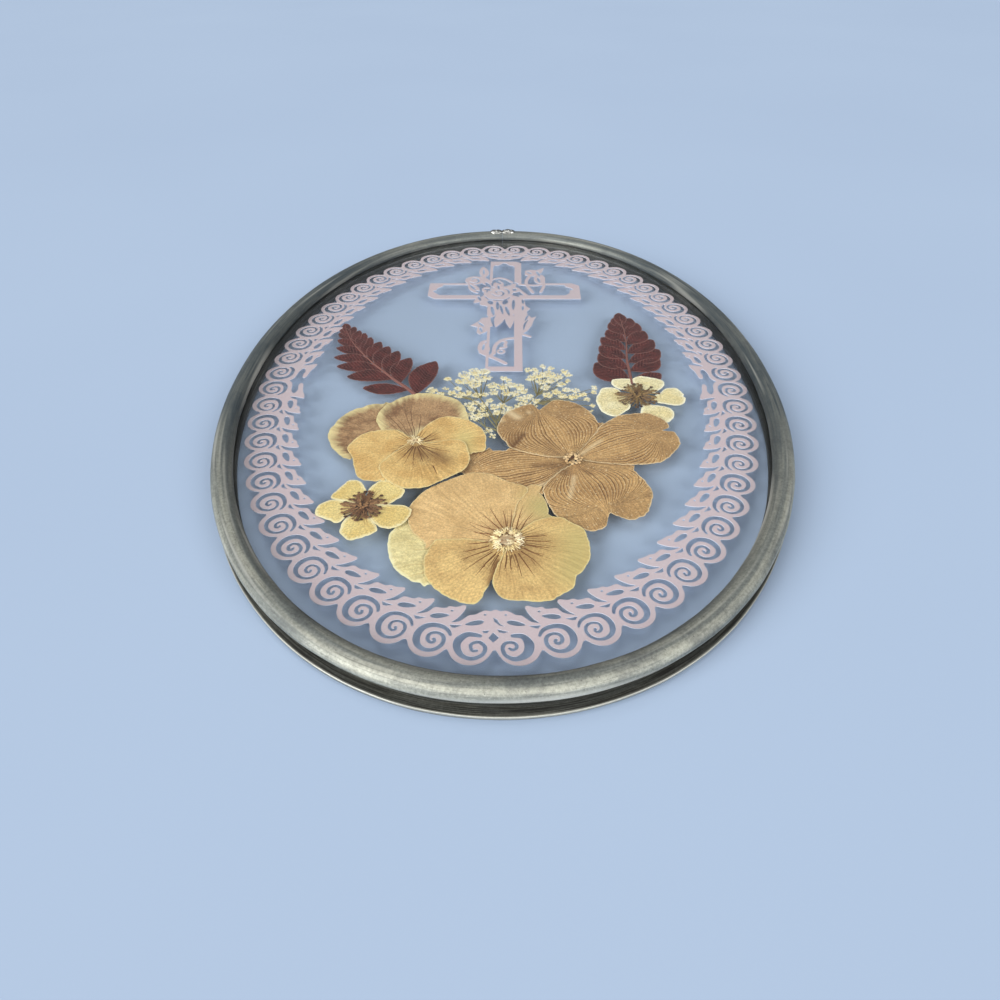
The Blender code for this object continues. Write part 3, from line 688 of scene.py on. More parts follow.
def make_solder():
    low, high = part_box("solder_joint_top")
    middle = (low + high) / 2 / MM
    form = Form()
    rings, sides = 14, 40
    for place, length, width, height in ((-3.1, 6.4, 4.3, 1.0), (3.0, 6.8, 4.4, 1.15)):
        points = []
        for ring in range(rings + 1):
            tilt = math.pi / 2 * ring / rings
            for side in range(sides):
                turn = 2 * math.pi * side / sides
                x = place + length / 2 * math.cos(tilt) * math.cos(turn)
                y = width / 2 * math.cos(tilt) * math.sin(turn)
                crest = CAME_TOP - DOME * (1 - math.sqrt(max(0.0, 1 - (y / FACE_HALF) ** 2)))
                wave = noise.noise(Vector((x * 0.7, y * 0.7, place)))
                lift = height * math.sin(tilt) * (0.85 + 0.35 * wave)
                points.append((middle.x + x, OVAL_HALF_LENGTH + y, min(crest + 0.03 + lift, high.z / MM)))
        form.add(points, swept_faces(rings + 1, sides))
    form.piece("solder_lumps", solder_finish(), "solder", ["solder_joint_top"], place=IN_FRAME)


def finish_panes():
    material = glass_finish()
    for node in ("glass_back", "glass_front"):
        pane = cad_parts[node]
        pane.data.materials.clear()
        pane.data.materials.append(material)
        pane.visible_shadow = False
        pane.visible_diffuse = False


# Paper

SCROLLS = 15
BORDER_HALF_WIDTH = 86.1
BORDER_HALF_LENGTH = 121.2
LOBE_LAG = 0.7
LOBE_RADIUS = 5.3
FOOT_LOBE_RADIUS = 5.6
# Round one lobe, places are given as how far towards the foot and how far inwards they lie.
CUSP = (5.45, -1.5)
SPIRAL = (
    (4.9, 2.8), (4.3, 3.6), (3.2, 4.4), (1.5, 4.75), (-0.6, 4.5), (-2.3, 3.4), (-3.2, 1.4), (-3, -0.8),
    (-1.8, -2.5), (0.2, -3.2), (2.3, -2.6), (3.7, -0.9), (3.8, 1), (2.8, 2.3), (1.2, 2.5), (-0.1, 1.8),
    (-0.4, 0.6), (0.1, -0.4), (1.1, -0.7), (1.7, -0.1), (1.3, 0.5),
)
SPIRAL_WIDTHS = (0.8, 1.1, 1.3, 1.45, 1.55, 1.7, 1.85, 1.8, 1.5, 1.25, 1.1, 1.1, 1.1, 1.05, 0.95, 0.95,
    1.0, 1.0, 0.9)
# The foot pair is cut by its own drawing, as the head pair is.
FOOT_SPIRALS = (
    ((1.2, 1.6, 2.2, 1.9, 1.3, 1.2, 1.1, 1.1, 1, 0.9), (-3.8, -117.7), (-7, -117.3), (-9.3, -119.3),
     (-9.4, -121.6), (-8, -123.8), (-5.5, -124.6), (-3, -123.4), (-2.4, -121.2), (-4, -119.6),
     (-6, -120.4), (-5.6, -122.2), (-4.5, -122.2)),
    ((1.2, 1.7, 2.6, 2.4, 1.6, 1.2, 1.1, 1, 1, 0.9), (4.5, -117.6), (7.1, -117.8), (8.7, -120.2),
     (8.1, -123), (5.4, -124.6), (2.9, -123.6), (2, -121.4), (2.9, -119.8), (4.9, -119.8), (5.6, -121),
     (4.7, -121.9), (3.8, -121.5)),
)
# A tooth's outline, from the slit on its foot side to the next slit: near the foot and at the side.
FOOT_TOOTH = (
    (3.7, 6.6), (4.7, 8.1), (5.4, 9.7), (5.8, 11.2), (5.9, 12.4), (5.4, 12.9), (4.6, 12.5), (3.7, 11.8),
    (2.8, 11.5), (1.9, 11.6), (1.3, 11.2), (0.9, 10.6), (-0.2, 10.3), (-1.4, 10.2), (-2.1, 10),
    (-2.6, 9.2), (-3.1, 8.3), (-4.2, 7.5), (-5.6, 6.8),
)
SIDE_TOOTH = (
    (4.4, 6.9), (5.6, 8.4), (6.3, 10), (6.8, 11.8), (6.8, 12.8), (6, 12.7), (5, 12.2), (3.8, 12.3),
    (2.9, 12), (2.5, 11.4), (1.9, 10.9), (0.8, 10.7), (-0.5, 10.7), (-1.7, 10.5), (-2.1, 9.9),
    (-2.5, 9.2), (-3, 8.4), (-4, 7.6), (-5.8, 6.9),
)
FOOT_CHIP = ((3.5, 5.9), (4.5, 5.0), (5.3, 5.2), (6.4, 6.1), (6.9, 6.6), (5.2, 6.2))
SIDE_CHIP = ((3.7, 6.0), (4.9, 5.0), (5.8, 5.3), (6.7, 6.4), (7.2, 7.0), (5.6, 6.3))


def border_places():
    """Each scroll's place in the lower right quadrant, from the foot to the side, equally far apart."""
    steps = 4000
    angle = -math.pi / 2 + math.pi / 2 * np.arange(steps + 1) / steps
    line = np.stack([BORDER_HALF_WIDTH * np.cos(angle), BORDER_HALF_LENGTH * np.sin(angle)], 1)
    run = np.concatenate([[0], np.cumsum(np.linalg.norm(np.diff(line, axis=0), axis=1))])
    places = []
    for number in range(SCROLLS):
        at = (number + 0.5) * run[-1] / SCROLLS + LOBE_LAG
        point = np.array([np.interp(at, run, line[:, 0]), np.interp(at, run, line[:, 1])])
        outward = point / np.array([BORDER_HALF_WIDTH, BORDER_HALF_LENGTH]) ** 2
        places.append((point, outward / np.linalg.norm(outward)))
    return places


def from_scroll(place, towards_foot, inwards):
    point, outward = place
    return point + np.array([outward[1], -outward[0]]) * towards_foot - outward * inwards


def between(first, second, share):
    return [(1 - share) * np.array(a) + share * np.array(b) for a, b in zip(first, second)]


def almond(centre, length, width, slant):
    """A pointed oval, rounder at its first end."""
    turn = math.radians(slant)
    points = []
    for angle in np.linspace(0, 2 * math.pi, 20, endpoint=False):
        x = length / 2 * math.cos(angle)
        y = width / 2 * math.sin(angle) * (1 - 0.25 * math.cos(angle))
        points.append((centre[0] + x * math.cos(turn) - y * math.sin(turn),
            centre[1] + x * math.sin(turn) + y * math.cos(turn)))
    return points


def quadrant():
    """The outer edge, the inner edge and the holes of the lower right quadrant."""
    outer, inner, holes = [], [], []
    last = SCROLLS - 1
    for number, place in enumerate(border_places()):
        share = number / last
        outer.append(from_scroll(place, *CUSP) if number else (0.0, -121.9))
        radius = LOBE_RADIUS if number else FOOT_LOBE_RADIUS
        for angle in np.radians(np.linspace(-24, -156, 12)):
            outer.append(from_scroll(place, radius * math.cos(angle), radius * math.sin(angle)))
        if number == 0:
            continue
        holes.append(stroke([from_scroll(place, *step) for step in SPIRAL], slot_widths(number), 0.4))
        if number < last:
            cuts = [between(FOOT_CHIP, SIDE_CHIP, share),
                almond((0.1 + 0.8 * share, 7.8 + 0.7 * share), 5.1 + 0.5 * share, 1.7 + 0.4 * share,
                20 - 11 * share), ellipse((2.7 + 0.9 * share, 10.2 + 0.6 * share), 0.85, 0.75, 0, 10),]
            inner += [from_scroll(place, *point) for point in between(FOOT_TOOTH, SIDE_TOOTH, share)]
            holes += [[from_scroll(place, *point) for point in cut] for cut in cuts]
    return outer, inner, holes


def slot_widths(number):
    """The slots are cut wider and narrower from scroll to scroll."""
    return [width * (1.0 + 0.1 * math.sin(number * 2.3)) for width in SPIRAL_WIDTHS]


def mirrored(loops, across, up):
    return [[(across * x, up * y) for x, y in loop] for loop in loops]


def around(points):
    """A lower right quadrant's edge, mirrored to go once round."""
    points = [tuple(point) for point in points]
    lower = [(-x, y) for x, y in reversed(points) if x > 0] + points
    return lower + [(x, -y) for x, y in reversed(lower)]


FOOT_HUMP = (
    (0.3, -109.4), (1.4, -109.9), (2.6, -109.6), (4, -110.2), (5.3, -111), (6.8, -111.2), (7.8, -112),
    (9.4, -113.2),
)
SIDE_PRONG = (
    (79.9, -10.4), (76.2, -10.9), (73, -11.8), (73.3, -9.4), (74.2, -7.4), (74.7, -5.2), (75.1, -2.8),
    (75.7, -2), (76.5, -2.3), (76.7, -4.2), (76.3, -6), (76.8, -8.2), (77.7, -8.6), (78.6, -7),
    (79.1, -4.6), (79.3, -2.8), (80, -1.2), (80.9, -0.3),
)
CENTRE_HOLES = (
    ((-1.7, -118.4), (-0.5, -116.6), (1.1, -118.2), (-0.4, -119.8)),
    ((-0.6, -111.8), (0.4, -112.4), (1.2, -113.8), (2.6, -114.9), (1, -114.4), (-0.3, -113.2)),
    ((0.5, -115.5), (1.8, -115.9), (3.6, -116.4), (2.2, -116.9), (1, -116.6)), ((-3.4, -116.2),
    (-1.4, -115.9), (-2, -116.9), (-2.9, -116.9)),
)


def make_border():
    low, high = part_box("paper_border")
    outer, inner, quarter_holes = quadrant()
    inner = [*FOOT_HUMP, *inner, *SIDE_PRONG]
    holes = []
    for across, up in ((1, 1), (-1, 1), (1, -1), (-1, -1)):
        holes += mirrored(quarter_holes, across, up)
        holes.append([(across * x, up * y) for x, y in ellipse((2.7, -111.0), 0.8, 0.7, 0, 10)])
        holes.append([(across * x, up * y) for x, y in almond((5.4, -113.7), 5.0, 1.6, -12)])
    pair = [stroke(points, widths, 0.4) for widths, *points in FOOT_SPIRALS]
    for up in (1, -1):
        holes += mirrored(CENTRE_HOLES, 1, up)
        holes += mirrored(pair, 1, up)
    holes.append(smooth(around(inner), 0.5))
    form = Form()
    cut_sheet(form, [smooth(around(outer), 0.5)], holes, low.z / MM, high.z / MM)
    form.piece("paper_border_cut", paper_finish(), "paper", ["paper_border"], sharp=30)

# The cross, as polygons, leaves (root, tip, width) and strokes (width, then points).
CROSS_BARS = (
    ((-6.9, 84), (-6.9, 107), (5.5, 107), (8, 105), (8, 82), (4.8, 84.2), (4.8, 101), (3.9, 102.3),
     (2.3, 102.6), (0.8, 105), (-0.8, 105.4), (-1.8, 104), (-3.3, 102.3), (-4.8, 102.9), (-5.6, 101),
     (-5.6, 84)),
    ((-15.5, 83), (-34.8, 83), (-34.8, 70.5), (-31.5, 67.3), (-11, 67.3), (-11, 70.9), (-29.5, 70.9),
     (-31, 72.5), (-33, 75), (-31.3, 76.2), (-31, 78), (-28.8, 79.8), (-28.5, 81.4), (-15.5, 81.4)),
    ((17.5, 83), (31.5, 83), (34.8, 80.5), (34.8, 67.3), (5, 67.3), (5, 70.8), (28, 70.8), (30, 73),
     (30.2, 75.8), (32, 76.6), (31, 78), (28.5, 79.6), (28, 81.4), (17.5, 81.4)),
    ((4.6, 68), (4.7, 10.2), (-5.5, 10.2), (-5.5, 66), (-6.7, 66), (-6.6, 9), (-4.6, 6.9), (8, 6.9),
     (8, 68)),
    ((-9.2, 67), (-9.8, 62), (-7.2, 60), (-7.2, 52), (-5, 50), (-3, 52.5), (0, 53), (3.5, 52), (5, 53.5),
     (8, 56), (9.6, 61), (9.2, 67), (4.5, 68.5), (-3, 69)),
    ((-5.9, 50), (-9.2, 49.6), (-10.6, 46.5), (-13.9, 42.8), (-10.8, 41.4), (-11.1, 37), (-9.8, 35.2),
     (-7, 37.5), (-6, 41), (-4.4, 42.6), (-5.2, 46)),
    ((9.6, 92), (9.9, 96.6), (12.5, 97.8), (15.5, 97), (19, 100), (18.3, 96), (16.6, 92.4), (13.5, 90.6)),
    ((7.6, 52.6), (7.6, 50.6), (8.1, 36), (10.2, 38.4), (12.2, 43), (12.9, 47), (14.2, 51), (12.2, 49.6),
     (10.4, 53), (10.2, 55.5), (11.7, 58), (9.8, 60.5), (9.4, 63), (7.6, 62)),
)
CROSS_LEAVES = (
    ((-9.2, 89.5), (-10.6, 101.2), 4.6), ((-6.5, 80.5), (-11.6, 90.5), 4.4), ((-12, 73), (-16.4, 83.5),
    4.6), ((-8, 70), (-13.5, 63.2), 3.8), ((-3, 78), (-2.4, 86), 5), ((0, 57), (-3.2, 41.4), 4.4),
    ((2.4, 57), (2.9, 40.6), 4), ((-6.4, 20), (-8.6, 29.6), 4.4), ((0.5, 76), (5.6, 83), 3.6),
)
CROSS_STROKES = (
    (1.6, (-4, 77), (-7.5, 82), (-9.6, 88), (-10.4, 92)), (1.3, (-5.6, 87.2), (-2.4, 88.7), (0.8, 87.2),
    (3.6, 84)), (1.5, (12, 91), (10.4, 86), (10.6, 81), (13.2, 73.6)), (1.4, (18, 87), (18.5, 81),
    (16.8, 74.2)), (1.5, (7, 82), (10.5, 81.4), (14.5, 81), (18.5, 82.4)), (1.5, (6.6, 77), (8.6, 73.5),
    (10.5, 70)), (1.3, (7.6, 35.8), (9.2, 34.9), (11.3, 33.5)), (1.6, (5, 32.4), (1, 31.4), (-2, 28.5),
    (-3.3, 24.5), (-3.5, 20)), (1.3, (-1, 30.4), (1.3, 29.2), (0.9, 26.8), (1.3, 25.2), (-0.8, 24.4)),
    (1.7, (-8.8, 21), (-5.5, 18.2), (-1.5, 15.2), (1.3, 12.6)), (1.3, (-6, 30.4), (-8.6, 28.6),
    (-9.5, 24), (-8.2, 20.2)), (1.4, (-3.5, 20.4), (-4.4, 18), (-2.4, 16)),
)
CROSS_DISCS = (
    ((-14, 86.2), 9, 8.4), ((-2.6, 73.4), 13.5, 12.4), ((-6.6, 76.4), 7.5, 7), ((1.2, 76.4), 7, 7.4),
    ((-6, 69.6), 7.4, 6.6), ((1.4, 69.2), 7.2, 6.4), ((4.8, 76.4), 5.2, 5.4), ((16.6, 87.6), 5.4, 9.6),
    ((-0.6, 21.6), 3.6, 3.6), ((-8.6, 63), 4.4, 4.4),
)
# Lines cut out of the cross, as a width and points, and pointed gaps, as root, tip and width.
CROSS_CUTS = (
    (1.1, (-16.2, 84.6), (-14.2, 83.4), (-12.2, 84.8), (-12.6, 87.6), (-14.6, 88.6), (-15.2, 86.8)),
    (0.9, (-5.6, 72.4), (-3.8, 70.2), (-1.2, 70.6), (-0.2, 73), (-1.6, 75.2), (-3.8, 74.6), (-3, 72.6)),
    (1.2, (-8.8, 70.2), (-6.8, 67.2), (-3.2, 66.2), (0.4, 66.6), (2.8, 69)), (1, (-8, 73.6), (-7.2, 76.8),
    (-4.6, 78.6)), (1, (2.2, 72), (2, 75.6), (0.2, 78)), (1, (8.7, 39.6), (9.2, 44), (10.6, 48)),
)
CROSS_GAPS = (
    ((-8.8, 84.2), (-6, 78.2), 1.9), ((-4.9, 86), (-1.2, 82.6), 2), ((0, 85.2), (3, 80.6), 1.9),
    ((-2.8, 81.2), (-2.4, 76.8), 1.2), ((-9.4, 77.6), (-5.6, 75.4), 1.5), ((3.4, 72.2), (7.4, 69.4), 1.7),
    ((-6.6, 66.2), (-5.4, 61.8), 2.6), ((1.2, 66.6), (0, 61.8), 2.6), ((-2.9, 65.2), (-2.6, 56.6), 1.5),
    ((4.4, 67), (4.2, 56.6), 1.5), ((-5.4, 60.6), (-4.2, 51.4), 1.6), ((-1.6, 62), (-0.2, 52.6), 1.3),
    ((0.8, 60.6), (2.6, 51.4), 1.5), ((-13.2, 75.4), (-10.4, 74), 1.6), ((-11.8, 70), (-10.4, 65.4), 1.5),
    ((-16, 81.6), (-13.2, 76), 1.5), ((8.5, 67.2), (8.6, 62.4), 1.2), ((8.5, 61), (8.4, 56.2), 1.1),
    ((10.8, 52.6), (9.2, 46.8), 1), ((-10.8, 46), (-8, 41.6), 1.3), ((-9.8, 41.4), (-8.8, 37), 1.3),
    ((10.6, 95.6), (13.2, 92.8), 1.5), ((15.4, 96.2), (16.8, 90.2), 1.5), ((15.8, 89.2), (16.6, 83.6),
    1.4), ((-10.2, 98.4), (-9.8, 92.2), 1), ((-8, 22.4), (-7.6, 27.6), 1.2), ((4.8, 77.8), (4.8, 75),
    2.2), ((-0.6, 22.6), (-0.6, 20.6), 1.7),
)


def leaf_outline(root, tip, width, bend=0.0, widest=0.45, bluntness=0.8, count=14):
    """A leaf from its root to its tip, widest at the given share of its length and bowed by the bend."""
    root, tip = np.array(root, float), np.array(tip, float)
    run = tip - root
    side = np.array([-run[1], run[0]]) / np.linalg.norm(run)
    share = np.linspace(0, 1, count)
    power = math.log(0.5) / math.log(widest)
    half = width / 2 * np.sin(math.pi * share ** power) ** bluntness
    middle = root + share[:, None] * run + side * (bend * np.sin(math.pi * share))[:, None]
    return anticlockwise(np.vstack([middle + side * half[:, None], (middle - side * half[:, None])[-2:0:-1]]))


def make_cross():
    low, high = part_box("paper_cross")
    shapes = [np.array(bar, float) for bar in CROSS_BARS]
    shapes += [leaf_outline(*leaf) for leaf in CROSS_LEAVES]
    shapes += [stroke(points, [width]) for width, *points in CROSS_STROKES]
    shapes += [ellipse(centre, length, width, 0, 28) for centre, length, width in CROSS_DISCS]
    holes = [stroke(points, [width * 0.5, width, width * 0.6]) for width, *points in CROSS_CUTS]
    holes += [leaf_outline(root, tip, width, 0.0, 0.45, 0.6) for root, tip, width in CROSS_GAPS]
    form = Form()
    cut_sheet(form, shapes, holes, low.z / MM, high.z / MM)
    form.piece("paper_cross_cut", paper_finish(), "paper", ["paper_cross"], sharp=30)


# Leaves and flowers

def level_of(node):
    """The height of the top of a flat plate, in millimetres, with a thin sheet's share left above it."""
    low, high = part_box(node)
    return (low.z + high.z) / 2 / MM + 0.06


def blade(form, rim, root, tip, height, seed):
    """One leaflet with a rib, held in the values along, side and across."""
    root, tip = np.array(root, float), np.array(tip, float)
    run = tip - root
    length = np.linalg.norm(run)
    run /= length
    side = np.array([-run[1], run[0]])

    def relief(points):
        across = (points - root) @ side
        return rough(points, 5.0, seed) * 0.06 - 0.07 * np.exp(-(across / 0.5) ** 2) + 0.03 * np.abs(across)

    values = {"along": lambda points: (points - root) @ run,
        "side": lambda points: (points - root) @ side, "across": lambda points: (points - root) @ side,}
    sheet(form, rim, height, relief, values, thickness=0.08, spacing=0.6)


LEFT_RIB = (
    (-31.8, -9.6), (-36, -4.6), (-41, 0.6), (-46, 6.6), (-50, 11.2), (-54, 16.6), (-57.5, 21.6),
    (-61, 27.2), (-64, 33.2), (-66.4, 39), (-67.4, 43),
)
# Leaflets as root, tip, width and bend, first up one side of the frond and then up the other.
LEFT_LEAFLETS = (
    ((-31.8, -8.8), (-26.4, 14.4), 9.2, 1.6), ((-38.8, -1.6), (-36.8, 17), 7.4, 1.8), ((-43.4, 4),
    (-42.2, 22.2), 6.4, 1.4), ((-47.6, 8.6), (-46.8, 25.8), 6.4, 1.2), ((-51.6, 13.6), (-50.6, 29.6), 5.6,
    1), ((-54.6, 18.2), (-55, 33.2), 5, 0.9), ((-57.6, 23), (-58, 36.6), 4.6, 0.8), ((-60.4, 27.6),
    (-60.6, 38.8), 4, 0.6), ((-63.2, 32.6), (-63.2, 42), 3.6, 0.5), ((-34.6, -6), (-52.2, -4.6), 6.6,
    0.4), ((-41.8, 1.2), (-59.6, 2.8), 7.4, -1.6), ((-46.6, 7), (-65, 10.4), 6.8, -1.4), ((-51.4, 12.8),
    (-67.4, 17.2), 6, -1.2), ((-55.6, 18.4), (-67.8, 24.6), 5.4, -1), ((-58.8, 23.4), (-68.4, 31), 5,
    -0.9), ((-61.8, 28.6), (-69, 36.6), 4.4, -0.7), ((-64.2, 33.4), (-69.2, 41), 3.8, -0.5), ((-65.8, 37),
    (-67.6, 44.6), 3.6, 0),
)
RIGHT_RIB = (
    (49, -3), (49.2, 8), (49.2, 14), (49.7, 20), (50.5, 28), (50.8, 36), (50.6, 44), (50.2, 51),
)
RIGHT_LEAFLETS = (
    ((48.6, -1), (36.6, 13.6), 9.6, 1.2), ((48.8, 8.6), (38.8, 20.6), 8, 1.2), ((49.3, 16.4),
    (39.4, 26.4), 7.2, 1), ((49.7, 23.4), (40.8, 33.4), 6.8, 0.8), ((50.2, 29.6), (43.8, 39.6), 6.2, 0.8),
    ((50.5, 35.2), (45.8, 46.2), 5.4, 0.6), ((50.5, 41), (47.6, 50.2), 4.4, 0.4), ((49.4, 0), (61.2, 5.6),
    6.6, -1), ((49.6, 7.6), (62.2, 16), 7.4, -1.2), ((49.8, 13.8), (63.2, 23.8), 8, -1.4), ((50.2, 20.6),
    (61.8, 31.4), 7.2, -1.2), ((50.6, 27.4), (59.2, 38.8), 6.6, -1), ((50.7, 33.6), (57, 45.6), 5.8,
    -0.8), ((50.6, 39.4), (54.6, 50), 4.8, -0.6), ((50.5, 43.4), (50.1, 54.4), 4.6, 0),
)


def make_frond(name, node, rib, leaflets, breadth, material):
    form = Form()
    base = level_of(node) - 0.12
    count = len(leaflets)
    for number, (root, tip, width, bend) in enumerate(leaflets):
        rim = smooth(leaf_outline(root, tip, width * breadth, bend, 0.54, 0.74), 0.5)
        rim = ragged(rim, 0.16, 0.9, number + 3.0)
        blade(form, rim, root, tip, base + 0.12 * ((number * 5) % count) / count, number)
    line = smooth(rib, 0.8, closed=False)
    path = np.column_stack([line, np.full(len(line), base + 0.16)])
    rod(form, path, [0.75, 0.55, 0.35, 0.2, 0.1], sides=6, stalk=1.0, along=0.0, side=9.0, across=1.0,
        rim=2.0)
    form.piece(name, material, "frond", [node])


def tucked(rim, neighbours):
    """The outline pushed out under each neighbour that lies closer than the given gap."""
    push = np.full(len(rim), 0.2)
    for node, gap in neighbours:
        other = smooth(outline_of(node), 0.6)
        away = np.linalg.norm(rim[:, None] - other[None], axis=2).min(1)
        push = np.maximum(push, (away + 0.6) * np.clip((gap - away) / 0.5, 0, 1))
    return pushed(rim, push)


def whisker(form, start, end, surface, dice, radius=0.25):
    """A dark vein that tapers from the throat outwards and forks once, lying on the petal."""
    start, end = np.array(start, float), np.array(end, float)
    run = end - start
    side = np.array([-run[1], run[0]])
    fork = start + run * dice.uniform(0.35, 0.6)
    middle = (start + end) / 2 + side * dice.uniform(-0.05, 0.05)
    branch_end = end - run * dice.uniform(0.05, 0.25) + side * dice.choice((-1, 1)) * dice.uniform(0.05, 0.12)
    for line, first, last in (([start, middle, end], radius, 0.07), ([fork, branch_end], radius * 0.5, 0.06)):
        line = smooth(line, 0.6, closed=False)
        path = np.column_stack([line, surface(line) - 0.08])
        rod(form, path, [first, last], 6, stain=0.95, rim=9.0, along=30.0, across=0.0, wash=0.0)


def petal(node, centre, material, slot, seed, stains_and_shade=(), washes=(), creases=(), whiskers=(), tucks=(),
          lift=0.0, ribs=0.03, pitch=9.0):
    """A petal with the CAD plate's outline, its veins spreading from the flower's centre."""
    rim = ragged(tucked(smooth(outline_of(node), 0.6), tucks), 0.16, 1.5, seed)
    centre = np.array(centre, float)
    heading = rim.mean(0) - centre
    heading /= np.linalg.norm(heading)

    def turned(points):
        away = points - centre
        return np.arctan2(heading[0] * away[:, 1] - heading[1] * away[:, 0], away @ heading)

    def reach(points):
        return np.linalg.norm(points - centre, axis=1)

    def relief(points):
        far = np.clip(reach(points) / 12, 0, 1)
        veins = np.cos(turned(points) * pitch * 2 * math.pi + rough(points, 9.0, seed) * 2) * ribs * far
        return rough(points, 8.0, seed) * 0.07 + rough(points, 2.2,
            seed + 5) * 0.03 + veins + marked(points, creases)

    values = {"along": reach, "across": turned, "stain": lambda points: marked(points, stains_and_shade),
        "wash": lambda points: marked(points, washes),}
    form = Form()
    level = level_of(node) + lift
    sheet(form, rim, level, relief, values)
    dice = random.Random(int(seed))
    for start, end in whiskers:
        whisker(form, start, end, lambda line: level + relief(line), dice)
    form.piece(node + "_dry", material, slot, [node])


BIG_PANSY = (2.8, -85.0)
SMALL_PANSY = (-28.5, -40.0)
DOGWOOD = (24.0, -48.0)
GOLDEN_ANGLE = 2.39996


def make_big_pansy():
    gold = petal_finish("golden_petal", (srgb(228, 194, 128), srgb(204, 168, 108)), srgb(104, 64, 28),
        7.0, 17.0, srgb(222, 206, 146), 0.6, 0.2, srgb(190, 174, 112))
    tan = petal_finish("peach_petal", (srgb(226, 190, 132), srgb(208, 172, 116)), srgb(120, 78, 42), 7.0,
        18.0, srgb(222, 202, 150), 0.5, 0.16, srgb(186, 172, 112))
    pale = petal_finish("greenish_petal", (srgb(230, 216, 158), srgb(212, 196, 138)), srgb(176, 146, 92),
        9.0, 40.0, srgb(238, 232, 186), 1.2, 0.16, srgb(204, 200, 136))
    petal("pansy_big_petal_far_left", BIG_PANSY, pale, "pansy_petal", 11.0,
        tucks=[("pansy_big_petal_head", 1.5), ("pansy_big_petal_left", 1.5)])
    petal("pansy_big_petal_head", BIG_PANSY, tan, "pansy_petal", 12.0, ribs=0.04,
        tucks=[("pansy_big_petal_left", 2.0), ("pansy_big_petal_right", 2.0)],
        stains_and_shade=[(0.35, 2.4, (-1, -79), (3, -77), (6, -78))], washes=[(0.9, 5.0, (12, -66), (14, -74))],
        whiskers=[((-0.5, -80.5), (-8.5, -77)), ((0.6, -79.8), (-6, -72)), ((1.5, -79.4), (-3, -70)),
        ((2.6, -79.2), (1, -69.5)), ((3.6, -79.4), (4, -70.5)), ((-2, -82), (-9, -80.5))])
    petal("pansy_big_petal_far_right", BIG_PANSY, tan, "pansy_petal", 13.0, lift=-0.14,
        tucks=[("pansy_big_petal_head", 3.0), ("pansy_big_petal_right", 2.0)],
        stains_and_shade=[(0.3, 2.0, (8, -79), (12, -77))], washes=[(0.9, 6.0, (14, -70), (18, -74))],
        whiskers=[((5.4, -79.8), (8, -68)), ((6.6, -80.4), (11.5, -71)), ((7.4, -81.2), (14.5, -75.5))])
    # The left petal's last stain is painted shade along the slit where it meets the right petal.
    petal("pansy_big_petal_left", BIG_PANSY, gold, "pansy_petal", 14.0, lift=-0.14, ribs=0.04,
        tucks=[("pansy_big_petal_right", 0.9)], stains_and_shade=[(0.3, 2.4, (-3, -87), (-1, -90)),
        (0.25, 3.0, (-8, -90), (-4, -94)), (0.85, 1.1, (0.2, -93), (-1.6, -101))],
        creases=[(-0.12, 0.5, (-3, -86), (-12, -88)), (0.1, 0.6, (-2, -92), (-8, -103))],
        whiskers=[((-2.6, -85.4), (-11, -86.5)), ((-2.4, -87), (-12, -90)), ((-2, -88.4), (-13, -94)),
        ((-1.4, -89.4), (-10, -97.5)), ((-0.4, -90.2), (-6, -99)), ((0.4, -90.6), (-2, -98))])
    petal("pansy_big_petal_right", BIG_PANSY, gold, "pansy_petal", 15.0, ribs=0.04,
        stains_and_shade=[(0.4, 2.6, (7, -87), (5, -91)), (0.3, 3.0, (12, -84), (9, -92))],
        washes=[(0.8, 7.0, (24, -84), (22, -97))], creases=[(0.12, 0.6, (8, -88), (20, -90)),
        (-0.1, 0.5, (6, -92), (10, -102))], whiskers=[((7.8, -83.6), (16, -82)),
        ((8.2, -85), (18, -84.6)), ((8.2, -86.6), (18, -88)), ((7.6, -88), (16.5, -92.5)),
        ((6.8, -89.2), (13.5, -96.5)), ((6, -90), (10.5, -98.5)), ((5, -90.4), (7, -99)),
        ((4, -90.8), (4.4, -98.5)), ((2.8, -90.8), (2, -97))])


